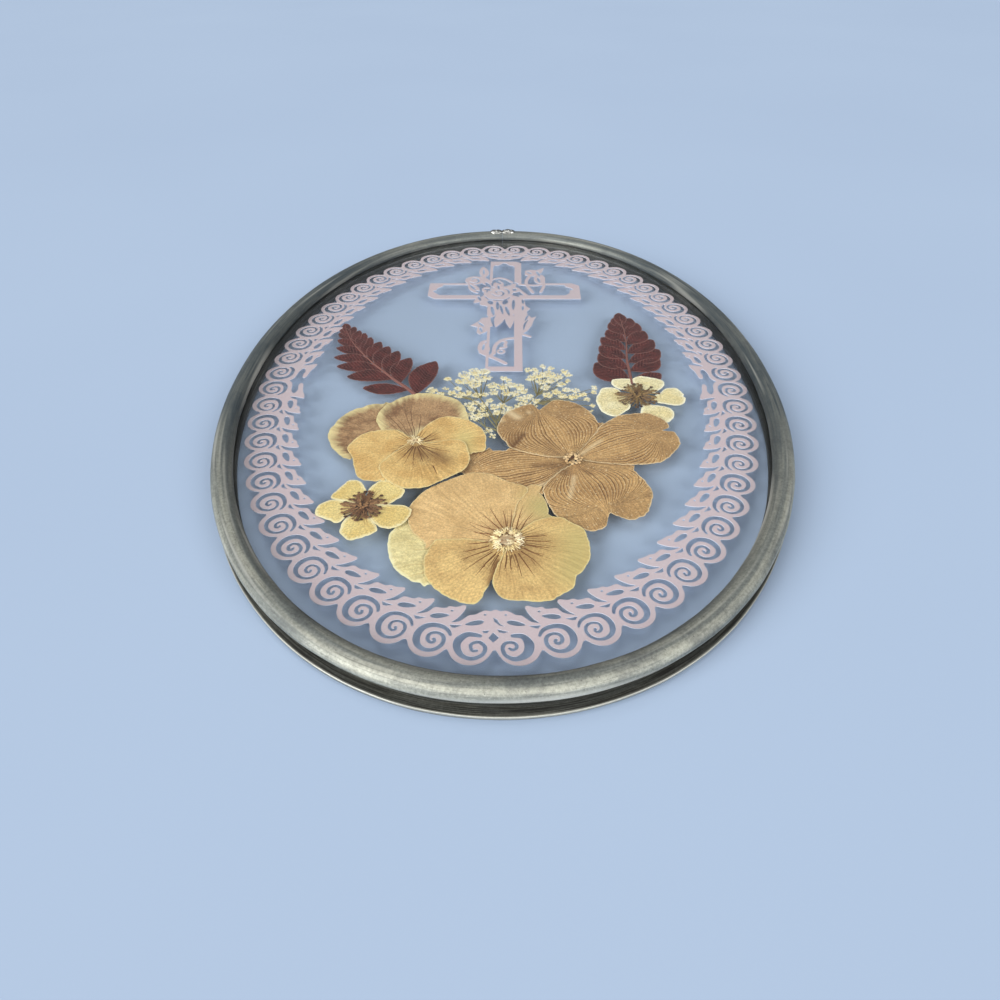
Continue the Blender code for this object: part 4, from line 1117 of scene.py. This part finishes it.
def make_small_pansy():
    gold = petal_finish("small_golden_petal", (srgb(228, 194, 126), srgb(208, 168, 102)),
        srgb(100, 62, 30), 6.0, 14.0, srgb(226, 208, 150), 0.6, 0.18, srgb(200, 188, 122))
    brown = petal_finish("browned_petal", (srgb(184, 148, 106), srgb(126, 90, 60)), srgb(96, 62, 38),
        10.0, 30.0, srgb(222, 206, 150), 4.6, 0.3, srgb(226, 206, 154))
    petal("pansy_small_petal_far_left", SMALL_PANSY, brown, "browned_petal", 21.0, ribs=0.05,
        tucks=[("pansy_small_petal_head", 1.5), ("pansy_small_petal_left", 1.5)])
    petal("pansy_small_petal_head", SMALL_PANSY, brown, "browned_petal", 22.0, ribs=0.05,
        tucks=[("pansy_small_petal_left", 1.5), ("pansy_small_petal_right", 1.5)],
        washes=[(0.9, 2.6, (-29, -37), (-27.5, -32.5))])
    petal("pansy_small_petal_left", SMALL_PANSY, gold, "pansy_petal", 23.0, ribs=0.04,
        tucks=[("pansy_small_petal_foot", 1.5)], stains_and_shade=[(0.3, 1.6, (-31, -42), (-34, -45))],
        whiskers=[((-30, -40.4), (-37, -41.6)), ((-29.8, -41.2), (-37, -45)),
        ((-29.6, -41.8), (-36, -48.5))])
    petal("pansy_small_petal_right", SMALL_PANSY, gold, "pansy_petal", 24.0, lift=-0.1, ribs=0.04,
        tucks=[("pansy_small_petal_foot", 1.5), ("pansy_small_petal_left", 1.5)],
        stains_and_shade=[(0.3, 1.6, (-25, -38), (-22, -36))], washes=[(0.55, 4.0, (-12, -36), (-12, -46))],
        whiskers=[((-26, -37.6), (-22, -33.6)), ((-25.4, -38.6), (-19.5, -35.8)),
        ((-25.6, -39.8), (-18, -39)), ((-26, -40.6), (-16.5, -42.6))])
    petal("pansy_small_petal_foot", SMALL_PANSY, gold, "pansy_petal", 25.0, ribs=0.04,
        stains_and_shade=[(0.6, 3.2, (-21, -46), (-18, -49)), (0.5, 2.4, (-28, -43), (-26, -46)),
        (0.25, 4.0, (-30, -46), (-24, -50))], creases=[(-0.2, 0.5, (-21.5, -52), (-19, -58.5))],
        whiskers=[((-29.2, -42), (-34, -51)), ((-28.8, -42.2), (-31, -52)),
        ((-28.2, -42.4), (-27.4, -54.5)), ((-27.6, -42.2), (-24, -53.5)), ((-27.2, -42), (-20.5, -52.5)),
        ((-26.8, -41.8), (-17, -49)), ((-26.6, -41.4), (-15.5, -45)), ((-21.5, -52), (-19, -58.5))])


def bract(node, tip, half_width, material, seed, stains_and_shade=(), glints=(), creases=(), tucks=()):
    """A dogwood bract: its ribs bow out from the root and meet again at the notched tip."""
    rim = ragged(tucked(smooth(outline_of(node), 0.6), tucks), 0.2, 1.2, seed)
    root, tip = np.array(DOGWOOD), np.array(tip, float)
    length = np.linalg.norm(tip - root)
    run = (tip - root) / length
    side = np.array([-run[1], run[0]])

    def bowed(points):
        share = np.clip((points - root) @ run / length, 0.05, 0.92)
        return (points - root) @ side / (half_width * np.sin(math.pi * share ** 1.1))

    def relief(points):
        ribs = np.cos(bowed(points) * 4 * 2 * math.pi) * 0.04
        return rough(points, 7.0, seed) * 0.07 + rough(points, 2.0,
            seed + 5) * 0.03 + ribs + marked(points, creases)

    values = {"along": lambda points: (points - root) @ run, "across": bowed,
        "stain": lambda points: marked(points, stains_and_shade), "glint": lambda points: marked(points, glints),}
    form = Form()
    sheet(form, rim, level_of(node), relief, values)
    form.piece(node + "_dry", material, "dogwood_bract", [node])


def lump(form, centre, radii, sides=8, rings=5, **values):
    """A closed, rounded lump."""
    points = [(centre[0], centre[1], centre[2] - radii[2])]
    for ring in range(1, rings):
        tilt = math.pi * ring / rings - math.pi / 2
        for number in range(sides):
            turn = 2 * math.pi * number / sides
            points.append((centre[0] + radii[0] * math.cos(tilt) * math.cos(turn),
                centre[1] + radii[1] * math.cos(tilt) * math.sin(turn),
                centre[2] + radii[2] * math.sin(tilt)))
    points.append((centre[0], centre[1], centre[2] + radii[2]))
    last = len(points) - 1
    faces = []
    for number in range(sides):
        after = (number + 1) % sides
        faces.append((0, 1 + after, 1 + number))
        faces.append((last, last - sides + number, last - sides + after))
        for ring in range(rings - 2):
            a, b = 1 + ring * sides + number, 1 + ring * sides + after
            faces.append((a, b, b + sides, a + sides))
    form.add(points, faces, **{key: [value] * len(points) for key, value in values.items()})


def make_dogwood():
    ribbed = bract_finish("dogwood_bract", srgb(194, 155, 100), srgb(166, 128, 80), srgb(92, 58, 30),
        srgb(240, 218, 174))
    others = [("dogwood_bract_head", 2.0), ("dogwood_bract_foot", 2.0), ("dogwood_bract_right", 2.0)]
    bract("dogwood_bract_left", (-13.0, -56.0), 15.0, ribbed, 31.0,
        tucks=others + [("pansy_small_petal_right", 2.0)],
        stains_and_shade=[(0.5, 1.8, (12, -50), (20, -50)), (0.3, 2.0, (0, -64), (10, -60))],
        glints=[(0.5, 0.7, (22, -51), (16, -58), (9, -62))])
    bract("dogwood_bract_head", (13.5, -19.5), 15.0, ribbed, 32.0, tucks=others[2:],
        stains_and_shade=[(0.6, 0.9, (4.5, -40.5), (8.3, -33.5)), (0.4, 2.0, (3, -40), (6, -34)),
        (0.35, 1.5, (19, -44), (16, -38))], glints=[(0.6, 1.6, (2, -20), (6, -24)), (0.5, 1.0, (10, -21)),
        (0.5, 1.2, (0, -26))], creases=[(-0.15, 0.7, (4.5, -40.5), (8.3, -33.5)),
        (0.12, 1.2, (2, -20), (6, -24))])
    bract("dogwood_bract_right", (55.2, -32.0), 15.0, ribbed, 33.0,
        stains_and_shade=[(0.7, 0.7, (25, -45), (30, -36)), (0.5, 0.6, (26, -48), (34, -50))],
        glints=[(0.4, 0.8, (27, -45), (34, -38))], creases=[(-0.14, 0.6, (25, -45), (30, -36))])
    bract("dogwood_bract_foot", (33.5, -72.5), 15.0, ribbed, 34.0, tucks=others[2:],
        stains_and_shade=[(0.5, 1.6, (19, -50), (21, -54)), (0.5, 0.6, (26, -52), (30, -55))],
        glints=[(0.6, 0.8, (15.5, -55.5)), (0.4, 0.8, (24, -56), (22, -66))])
    centre = speckled_finish("dogwood_middle", srgb(236, 206, 156), srgb(214, 176, 122), srgb(84, 52, 30))
    form = Form()
    level = level_of("dogwood_boss")
    for number in range(22):
        far = 1.0 + 2.1 * math.sqrt(number / 22)
        turn = number * GOLDEN_ANGLE
        size = 0.7 - 0.012 * number
        lump(form, (DOGWOOD[0] + far * math.cos(turn), DOGWOOD[1] + far * math.sin(turn), level - 0.06),
            (size, size, 0.2), shade=0.2 * (number % 3))
    lump(form, (DOGWOOD[0] - 0.4, DOGWOOD[1] + 0.6, level - 0.06), (0.8, 0.8, 0.12), shade=1.0)
    form.piece("dogwood_boss_knobs", centre, "dogwood_bract", ["dogwood_boss"])


def make_cinquefoil(side, centre, reach, level_node, petals, colours, stamen_colours):
    """A five-petalled flower with a ring of stamens."""
    cream = petal_finish("cream_petal_" + side, colours[:2], colours[2], 9.0, 12.0, colours[3], 1.3, 0.24,
        colours[1])
    for number, name in enumerate(petals):
        petal(f"cinquefoil_{side}_petal_{name}", centre, cream, "yellow_petal", 41.0 + number, ribs=0.02,
            stains_and_shade=[(0.6, 1.6, centre)])
    dark = speckled_finish("stamens_" + side, *stamen_colours)
    dice = random.Random(7)
    form = Form()
    level = level_of(level_node) - 0.06
    for number in range(84):
        turn = 2 * math.pi * number / 84 + dice.uniform(-0.08, 0.08)
        near, far = dice.uniform(1.6, 3.0), reach * dice.uniform(0.5, 1.0)
        bend = dice.uniform(-0.25, 0.25)
        path = []
        for share in (0.0, 0.35, 0.7, 1.0):
            radius = near + (far - near) * share
            angle = turn + bend * share
            path.append((centre[0] + radius * math.cos(angle), centre[1] + radius * math.sin(angle),
                level + dice.uniform(-0.05, 0.05)))
        rod(form, path, [0.2, 0.18, 0.2], sides=4, shade=dice.uniform(0.2, 0.8))
        lump(form, path[-1], (dice.uniform(0.45, 0.75), dice.uniform(0.4, 0.6), 0.17), 6, 4,
            shade=dice.uniform(0.35, 1.0))
    lump(form, (*centre, level - 0.3), (3.4, 3.2, 0.1), 24, 5, shade=0.9)
    for number in range(16):
        turn, far = dice.uniform(0, 2 * math.pi), 1.5 * math.sqrt(dice.random())
        lump(form, (centre[0] + far * math.cos(turn), centre[1] + far * math.sin(turn), level),
            (0.42, 0.42, 0.18), 6, 4, shade=dice.uniform(0.0, 0.5))
    form.piece(f"stamens_{side}_dry", dark, "stamen", [level_node])


def tufts(form, centre, level, inner, outer, count, radius, dice):
    """A ring of short pale hairs round a throat, with brown grains in the middle."""
    for number in range(count):
        turn = 2 * math.pi * number / count + dice.uniform(-0.05, 0.05)
        near, far = dice.uniform(*inner), dice.uniform(*outer)
        path = []
        for share in (0.0, 0.5, 1.0):
            reach = near + (far - near) * share
            angle = turn + dice.uniform(-0.1, 0.1)
            path.append((centre[0] + reach * math.cos(angle), centre[1] + reach * math.sin(angle),
                level + 0.22 * math.sin(math.pi * share)))
        rod(form, path, [radius, radius * 0.9, radius * 0.4], sides=4,
            shade=dice.choice((0.0, 0.0, 0.1, 0.6)))
    lump(form, (centre[0], centre[1], level - 0.05), (inner[0], inner[0] * 0.9, 0.12), 20, 4, shade=0.7)
    for number in range(count // 5):
        turn, far = dice.uniform(0, 2 * math.pi), inner[1] * 0.8 * math.sqrt(dice.random())
        place = (centre[0] + far * math.cos(turn), centre[1] + far * math.sin(turn), level)
        lump(form, place, (radius * 2.6, radius * 2.3, 0.18), 6, 4, shade=dice.uniform(0.1, 1.0))


def make_throats():
    hairs = speckled_finish("pansy_throat_hairs", srgb(250, 238, 198), srgb(238, 218, 160), srgb(134, 88, 44))
    form = Form()
    tufts(form, BIG_PANSY, level_of("pansy_big_throat") - 0.1, (2.3, 3.4), (3.8, 5.6), 110, 0.24,
        random.Random(3))
    form.piece("pansy_big_throat_tufts", hairs, "pansy_petal", ["pansy_big_throat"])
    form = Form()
    middle = (SMALL_PANSY[0], SMALL_PANSY[1] + 1.2)
    tufts(form, middle, level_of("pansy_small_petal_foot"), (0.5, 1.2), (1.4, 3.2), 40, 0.15,
        random.Random(4))
    form.piece("pansy_small_throat_tufts", hairs, "pansy_petal", [])


# Each cluster of lace florets: its CAD plate, its foot, and its small umbels as a place and a radius.
LACE = (
    ("lace_upper_left", (-7.6, -11.6), ((-14.5, 4, 2.4), (-10.6, 6.2, 2.6), (-7, 6.6, 2.2),
     (-12.6, 0.2, 2.4), (-8.6, 1.6, 2.6), (-15.8, -0.4, 1.8), (-5.4, 2.6, 1.7), (-10, -3, 2))),
    ("lace_far_left", (-10.6, -12.6), ((-20.5, 1.5, 1.2), (-26, -6.5, 1.9), (-21, -5.4, 1.1),
     (-22.6, -8.8, 1.3), (-18.4, -8, 1.4), (-15.6, -9.4, 1.7), (-12.6, -8.4, 1.6), (-16.4, -5.4, 1.2),
     (-9.4, -9.6, 1.5), (-6.4, -9.2, 1.4))),
    ("lace_upper_middle", (0.8, -14.6), ((0.5, 2, 1.2), (2.3, 0.8, 1.1), (-3.5, -2.8, 1.9),
     (0, -3.8, 2.1), (3.6, -2.6, 1.9), (6.6, -4, 1.9), (8.2, -7, 1.7), (-3, -7.4, 1.7), (2, -8, 1.9),
     (5.4, -8.6, 1.7))),
    ("lace_upper_right", (13.2, -9.4), ((16, 10.4, 1.3), (18.8, 9.2, 1.2), (10, 7.8, 1.3), (12.6, 8, 1.2),
     (24, 7, 1.4), (25.4, 4.6, 1.4), (25, 0.2, 1.2), (14, 4.2, 2.2), (18, 5, 2.3), (21.4, 3.4, 2),
     (11, 2, 1.7), (15, -0.4, 2), (19, 0.4, 2), (22.4, -2.2, 1.5), (16.4, -4.4, 1.7))),
    ("lace_far_right", (13.4, -14.6), ((17, -9.4, 1.7), (20.2, -7.4, 1.7), (24, -6, 1.5),
     (27.5, -6.4, 1.4), (22.6, -10, 1.6), (26.5, -10.4, 1.6), (30, -9, 1.5), (34.8, -4.4, 1.3),
     (34.2, -7.4, 1.2), (31.5, -12.2, 1.2), (33, -16, 0.9), (32.4, -19.4, 0.9))),
    ("lace_middle_left", (-4.4, -23.6), ((-12, -16, 1.4), (-9.4, -14.4, 1.5), (-6.4, -15.4, 1.7),
     (-10.4, -18.6, 1.5), (-7, -19, 1.5), (-4.4, -13, 1.2))),
    ("lace_low_left", (-5.4, -28.8), ((-11, -22, 1.4), (-8, -22.4, 1.5), (-9.4, -24.6, 1.2),
     (-5.4, -22, 1.1), (-4.4, -31.2, 1.5), (-2.8, -34.2, 1.2))),
    ("lace_low_middle", (-1.4, -25.6), ((-2.6, -17, 1.6), (0.4, -16.4, 1.7), (3.6, -18, 1.5),
     (1, -20, 1.5), (-1.6, -20.6, 1.3), (4, -21, 1.1))),
    ("lace_middle_right", (4.2, -22.2), ((7, -12, 1.5), (10, -10.6, 1.7), (12.6, -13, 1.5),
     (9, -14.6, 1.7), (6.4, -16, 1.3), (12, -16.6, 1.2))),
)
FLORET_SPACING = 0.82


def floret(form, place, size, turn, shade):
    """A tiny flower of five rounded petals."""
    points = [(place[0], place[1], place[2] + 0.04), (place[0], place[1], place[2] - 0.05)]
    count = 20
    reach = []
    for number in range(count):
        share = number / count * 5 % 1
        reach.append(size * (0.36 + 0.64 * math.sin(math.pi * share) ** 0.6))
    for lift in (0.06, -0.02):
        for number in range(count):
            angle = turn + 2 * math.pi * number / count
            points.append((place[0] + reach[number] * math.cos(angle),
                place[1] + reach[number] * math.sin(angle), place[2] + lift + 0.05 * math.sin(2 * angle)))
    faces = []
    for number in range(count):
        after = (number + 1) % count
        faces.append((0, 2 + number, 2 + after))
        faces.append((1, 2 + count + after, 2 + count + number))
        faces.append((2 + number, 2 + count + number, 2 + count + after, 2 + after))
    form.add(points, faces, shade=[min(1.0, shade + 0.6)] * 2 + [shade] * (2 * count))


def ray(form, start, end, height, radii, dice, sides=4):
    """A thin, slightly bent stalk lying flat."""
    start, end = np.array(start, float), np.array(end, float)
    away = np.linalg.norm(end - start)
    middle = (start + end) / 2 + np.array([dice.uniform(-0.06, 0.06), dice.uniform(-0.06, 0.06)]) * away
    line = smooth([start, middle, end], 1.0, closed=False)
    rod(form, np.column_stack([line, np.full(len(line), height)]), radii, sides, shade=dice.uniform(0.0, 0.4))


def make_lace():
    cream = speckled_finish("lace_florets", srgb(255, 252, 226), srgb(248, 238, 188), srgb(178, 152, 82))
    green = speckled_finish("lace_stalks", srgb(146, 140, 96), srgb(116, 108, 72), srgb(76, 66, 42))
    dice = random.Random(11)
    for node, foot, umbels in LACE:
        level = level_of(node) - 0.06
        florets, stalks = Form(), Form()
        for x, y, radius in umbels:
            centre = np.array([x, y])
            root = centre + (foot - centre) * min(0.5, radius * 0.7 / np.linalg.norm(foot - centre))
            ray(stalks, foot, root, level - 0.08, [0.17, 0.13], dice)
            placed = []
            for _ in range(90):
                turn, share = dice.uniform(0, 2 * math.pi), math.sqrt(dice.random())
                point = centre + radius * share * np.array([math.cos(turn), math.sin(turn)])
                if all(np.linalg.norm(point - other) > FLORET_SPACING for other in placed):
                    placed.append(point)
            for point in placed:
                ray(florets, root, point, level - 0.04, [0.13, 0.1], dice, 3)
                shade = 0.55 * max(0.0, 1.0 - np.linalg.norm(point - centre) / radius)
                floret(florets, (point[0], point[1], level + dice.uniform(-0.02, 0.1)),
                    dice.uniform(0.42, 0.72), dice.uniform(0, 1.2), shade)
        florets.piece(node + "_florets", cream, "lace", [node])
        stalks.piece(node + "_rays", green, "lace", [])


def make_lace_stem():
    green = speckled_finish("lace_main_stalk", srgb(150, 144, 100), srgb(122, 114, 78), srgb(80, 70, 46))
    meeting = np.array([0.2, -32.0])
    level = level_of("lace_stem") - 0.06
    dice = random.Random(5)
    form = Form()
    for _, foot, _ in LACE:
        ray(form, meeting, foot, level - 0.06, [0.34, 0.26, 0.2], dice, 5)
    ray(form, (2.4, -36.0), meeting, level, [0.5, 0.4], dice, 6)
    form.piece("lace_stem_dry", green, "lace", ["lace_stem"])


make_came()
make_solder()
finish_panes()
make_border()
make_cross()
fronds = frond_finish()
make_frond("fern_left_dry", "fern_left", LEFT_RIB, LEFT_LEAFLETS, 1.12, fronds)
make_frond("fern_right_dry", "fern_right", RIGHT_RIB, RIGHT_LEAFLETS, 1.22, fronds)
make_lace()
make_lace_stem()
make_small_pansy()
make_big_pansy()
make_throats()
make_dogwood()
make_cinquefoil("left", (-41.0, -71.0), 6.8, "cinquefoil_left_stamens",
    ("upper_left", "upper_right", "right", "foot", "left"),
    (srgb(234, 212, 142), srgb(222, 194, 120), srgb(176, 138, 76), srgb(240, 230, 182)),
    (srgb(172, 130, 86), srgb(140, 98, 62), srgb(54, 34, 24)))
make_cinquefoil("right", (50.0, -10.5), 8.0, "cinquefoil_right_stamens",
    ("head_left", "head_right", "right", "foot", "left"),
    (srgb(236, 226, 180), srgb(228, 212, 156), srgb(170, 140, 90), srgb(246, 242, 212)),
    (srgb(176, 146, 88), srgb(140, 108, 64), srgb(48, 28, 28)))


# Stage

def make_floor():
    mesh = bpy.data.meshes.new("floor")
    half = 12.0
    below = -0.00005
    mesh.from_pydata([(-half, -half, below), (half, -half, below), (half, half, below),
        (-half, half, below)], [], [(0, 1, 2, 3)])
    shader = Shader("pale_floor")
    cloud = shader.noise(shader.place(), 0.004, 2.0)
    shader.set(Base_Color=shader.mix(cloud, srgb(160, 178, 202), srgb(166, 184, 207)), Roughness=0.7)
    mesh.materials.append(shader.material)
    floor = bpy.data.objects.new("floor", mesh)
    bpy.context.scene.collection.objects.link(floor)


def panes_left_out():
    """The collection that keeps the lamps from showing in the clear panes as hard discs."""
    left_out = bpy.data.collections.new("panes_left_out")
    for node in ("glass_back", "glass_front"):
        left_out.objects.link(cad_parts[node])
    for link in left_out.collection_objects:
        link.light_linking.link_state = "EXCLUDE"
    return left_out


def add_softbox(name, tilt, width, strength, left_out):
    """A far, broad light panel, tilted from overhead by degrees to the right and to the back."""
    light = bpy.data.lights.new(name, "SUN")
    light.angle = math.radians(width)
    light.energy = strength
    lamp = bpy.data.objects.new(name, light)
    towards = Vector((math.tan(math.radians(tilt[0])), math.tan(math.radians(tilt[1])), 1.0))
    lamp.rotation_euler = towards.to_track_quat("Z", "Y").to_euler()
    lamp.light_linking.receiver_collection = left_out
    bpy.context.scene.collection.objects.link(lamp)


def make_lights():
    left_out = panes_left_out()
    add_softbox("front_left_panel", (-54, -46), 40, 3.2, left_out)
    add_softbox("front_right_panel", (42, -48), 40, 2.1, left_out)
    add_softbox("overhead_panel", (-10, 6), 30, 0.55, left_out)
    world = bpy.data.worlds.new("studio")
    world.use_nodes = True
    world.node_tree.nodes["Background"].inputs["Color"].default_value = (0.80, 0.86, 0.94, 1.0)
    world.node_tree.nodes["Background"].inputs["Strength"].default_value = 0.2
    bpy.context.scene.world = world


def make_camera():
    heading = Vector((*CAMERA_HEADING, 0.0))
    forward = heading * math.cos(CAMERA_PITCH) - Vector((0, 0, math.sin(CAMERA_PITCH)))
    level_right = Vector((heading.y, -heading.x, 0.0))
    level_up = heading * math.sin(CAMERA_PITCH) + Vector((0, 0, math.cos(CAMERA_PITCH)))
    right = level_right * math.cos(CAMERA_ROLL) + level_up * math.sin(CAMERA_ROLL)
    up = level_up * math.cos(CAMERA_ROLL) - level_right * math.sin(CAMERA_ROLL)
    data = bpy.data.cameras.new("camera")
    data.sensor_fit = "HORIZONTAL"
    data.sensor_width = 36.0
    data.lens = CAMERA_LENS
    data.clip_start = 0.005
    camera = bpy.data.objects.new("camera", data)
    turn = Matrix((right, up, -forward)).transposed().to_4x4()
    camera.matrix_world = Matrix.Translation(Vector(CAMERA_PLACE) * MM) @ turn
    bpy.context.scene.collection.objects.link(camera)
    bpy.context.scene.camera = camera


make_floor()
make_lights()
make_camera()
bpy.context.scene.view_settings.view_transform = "Standard"
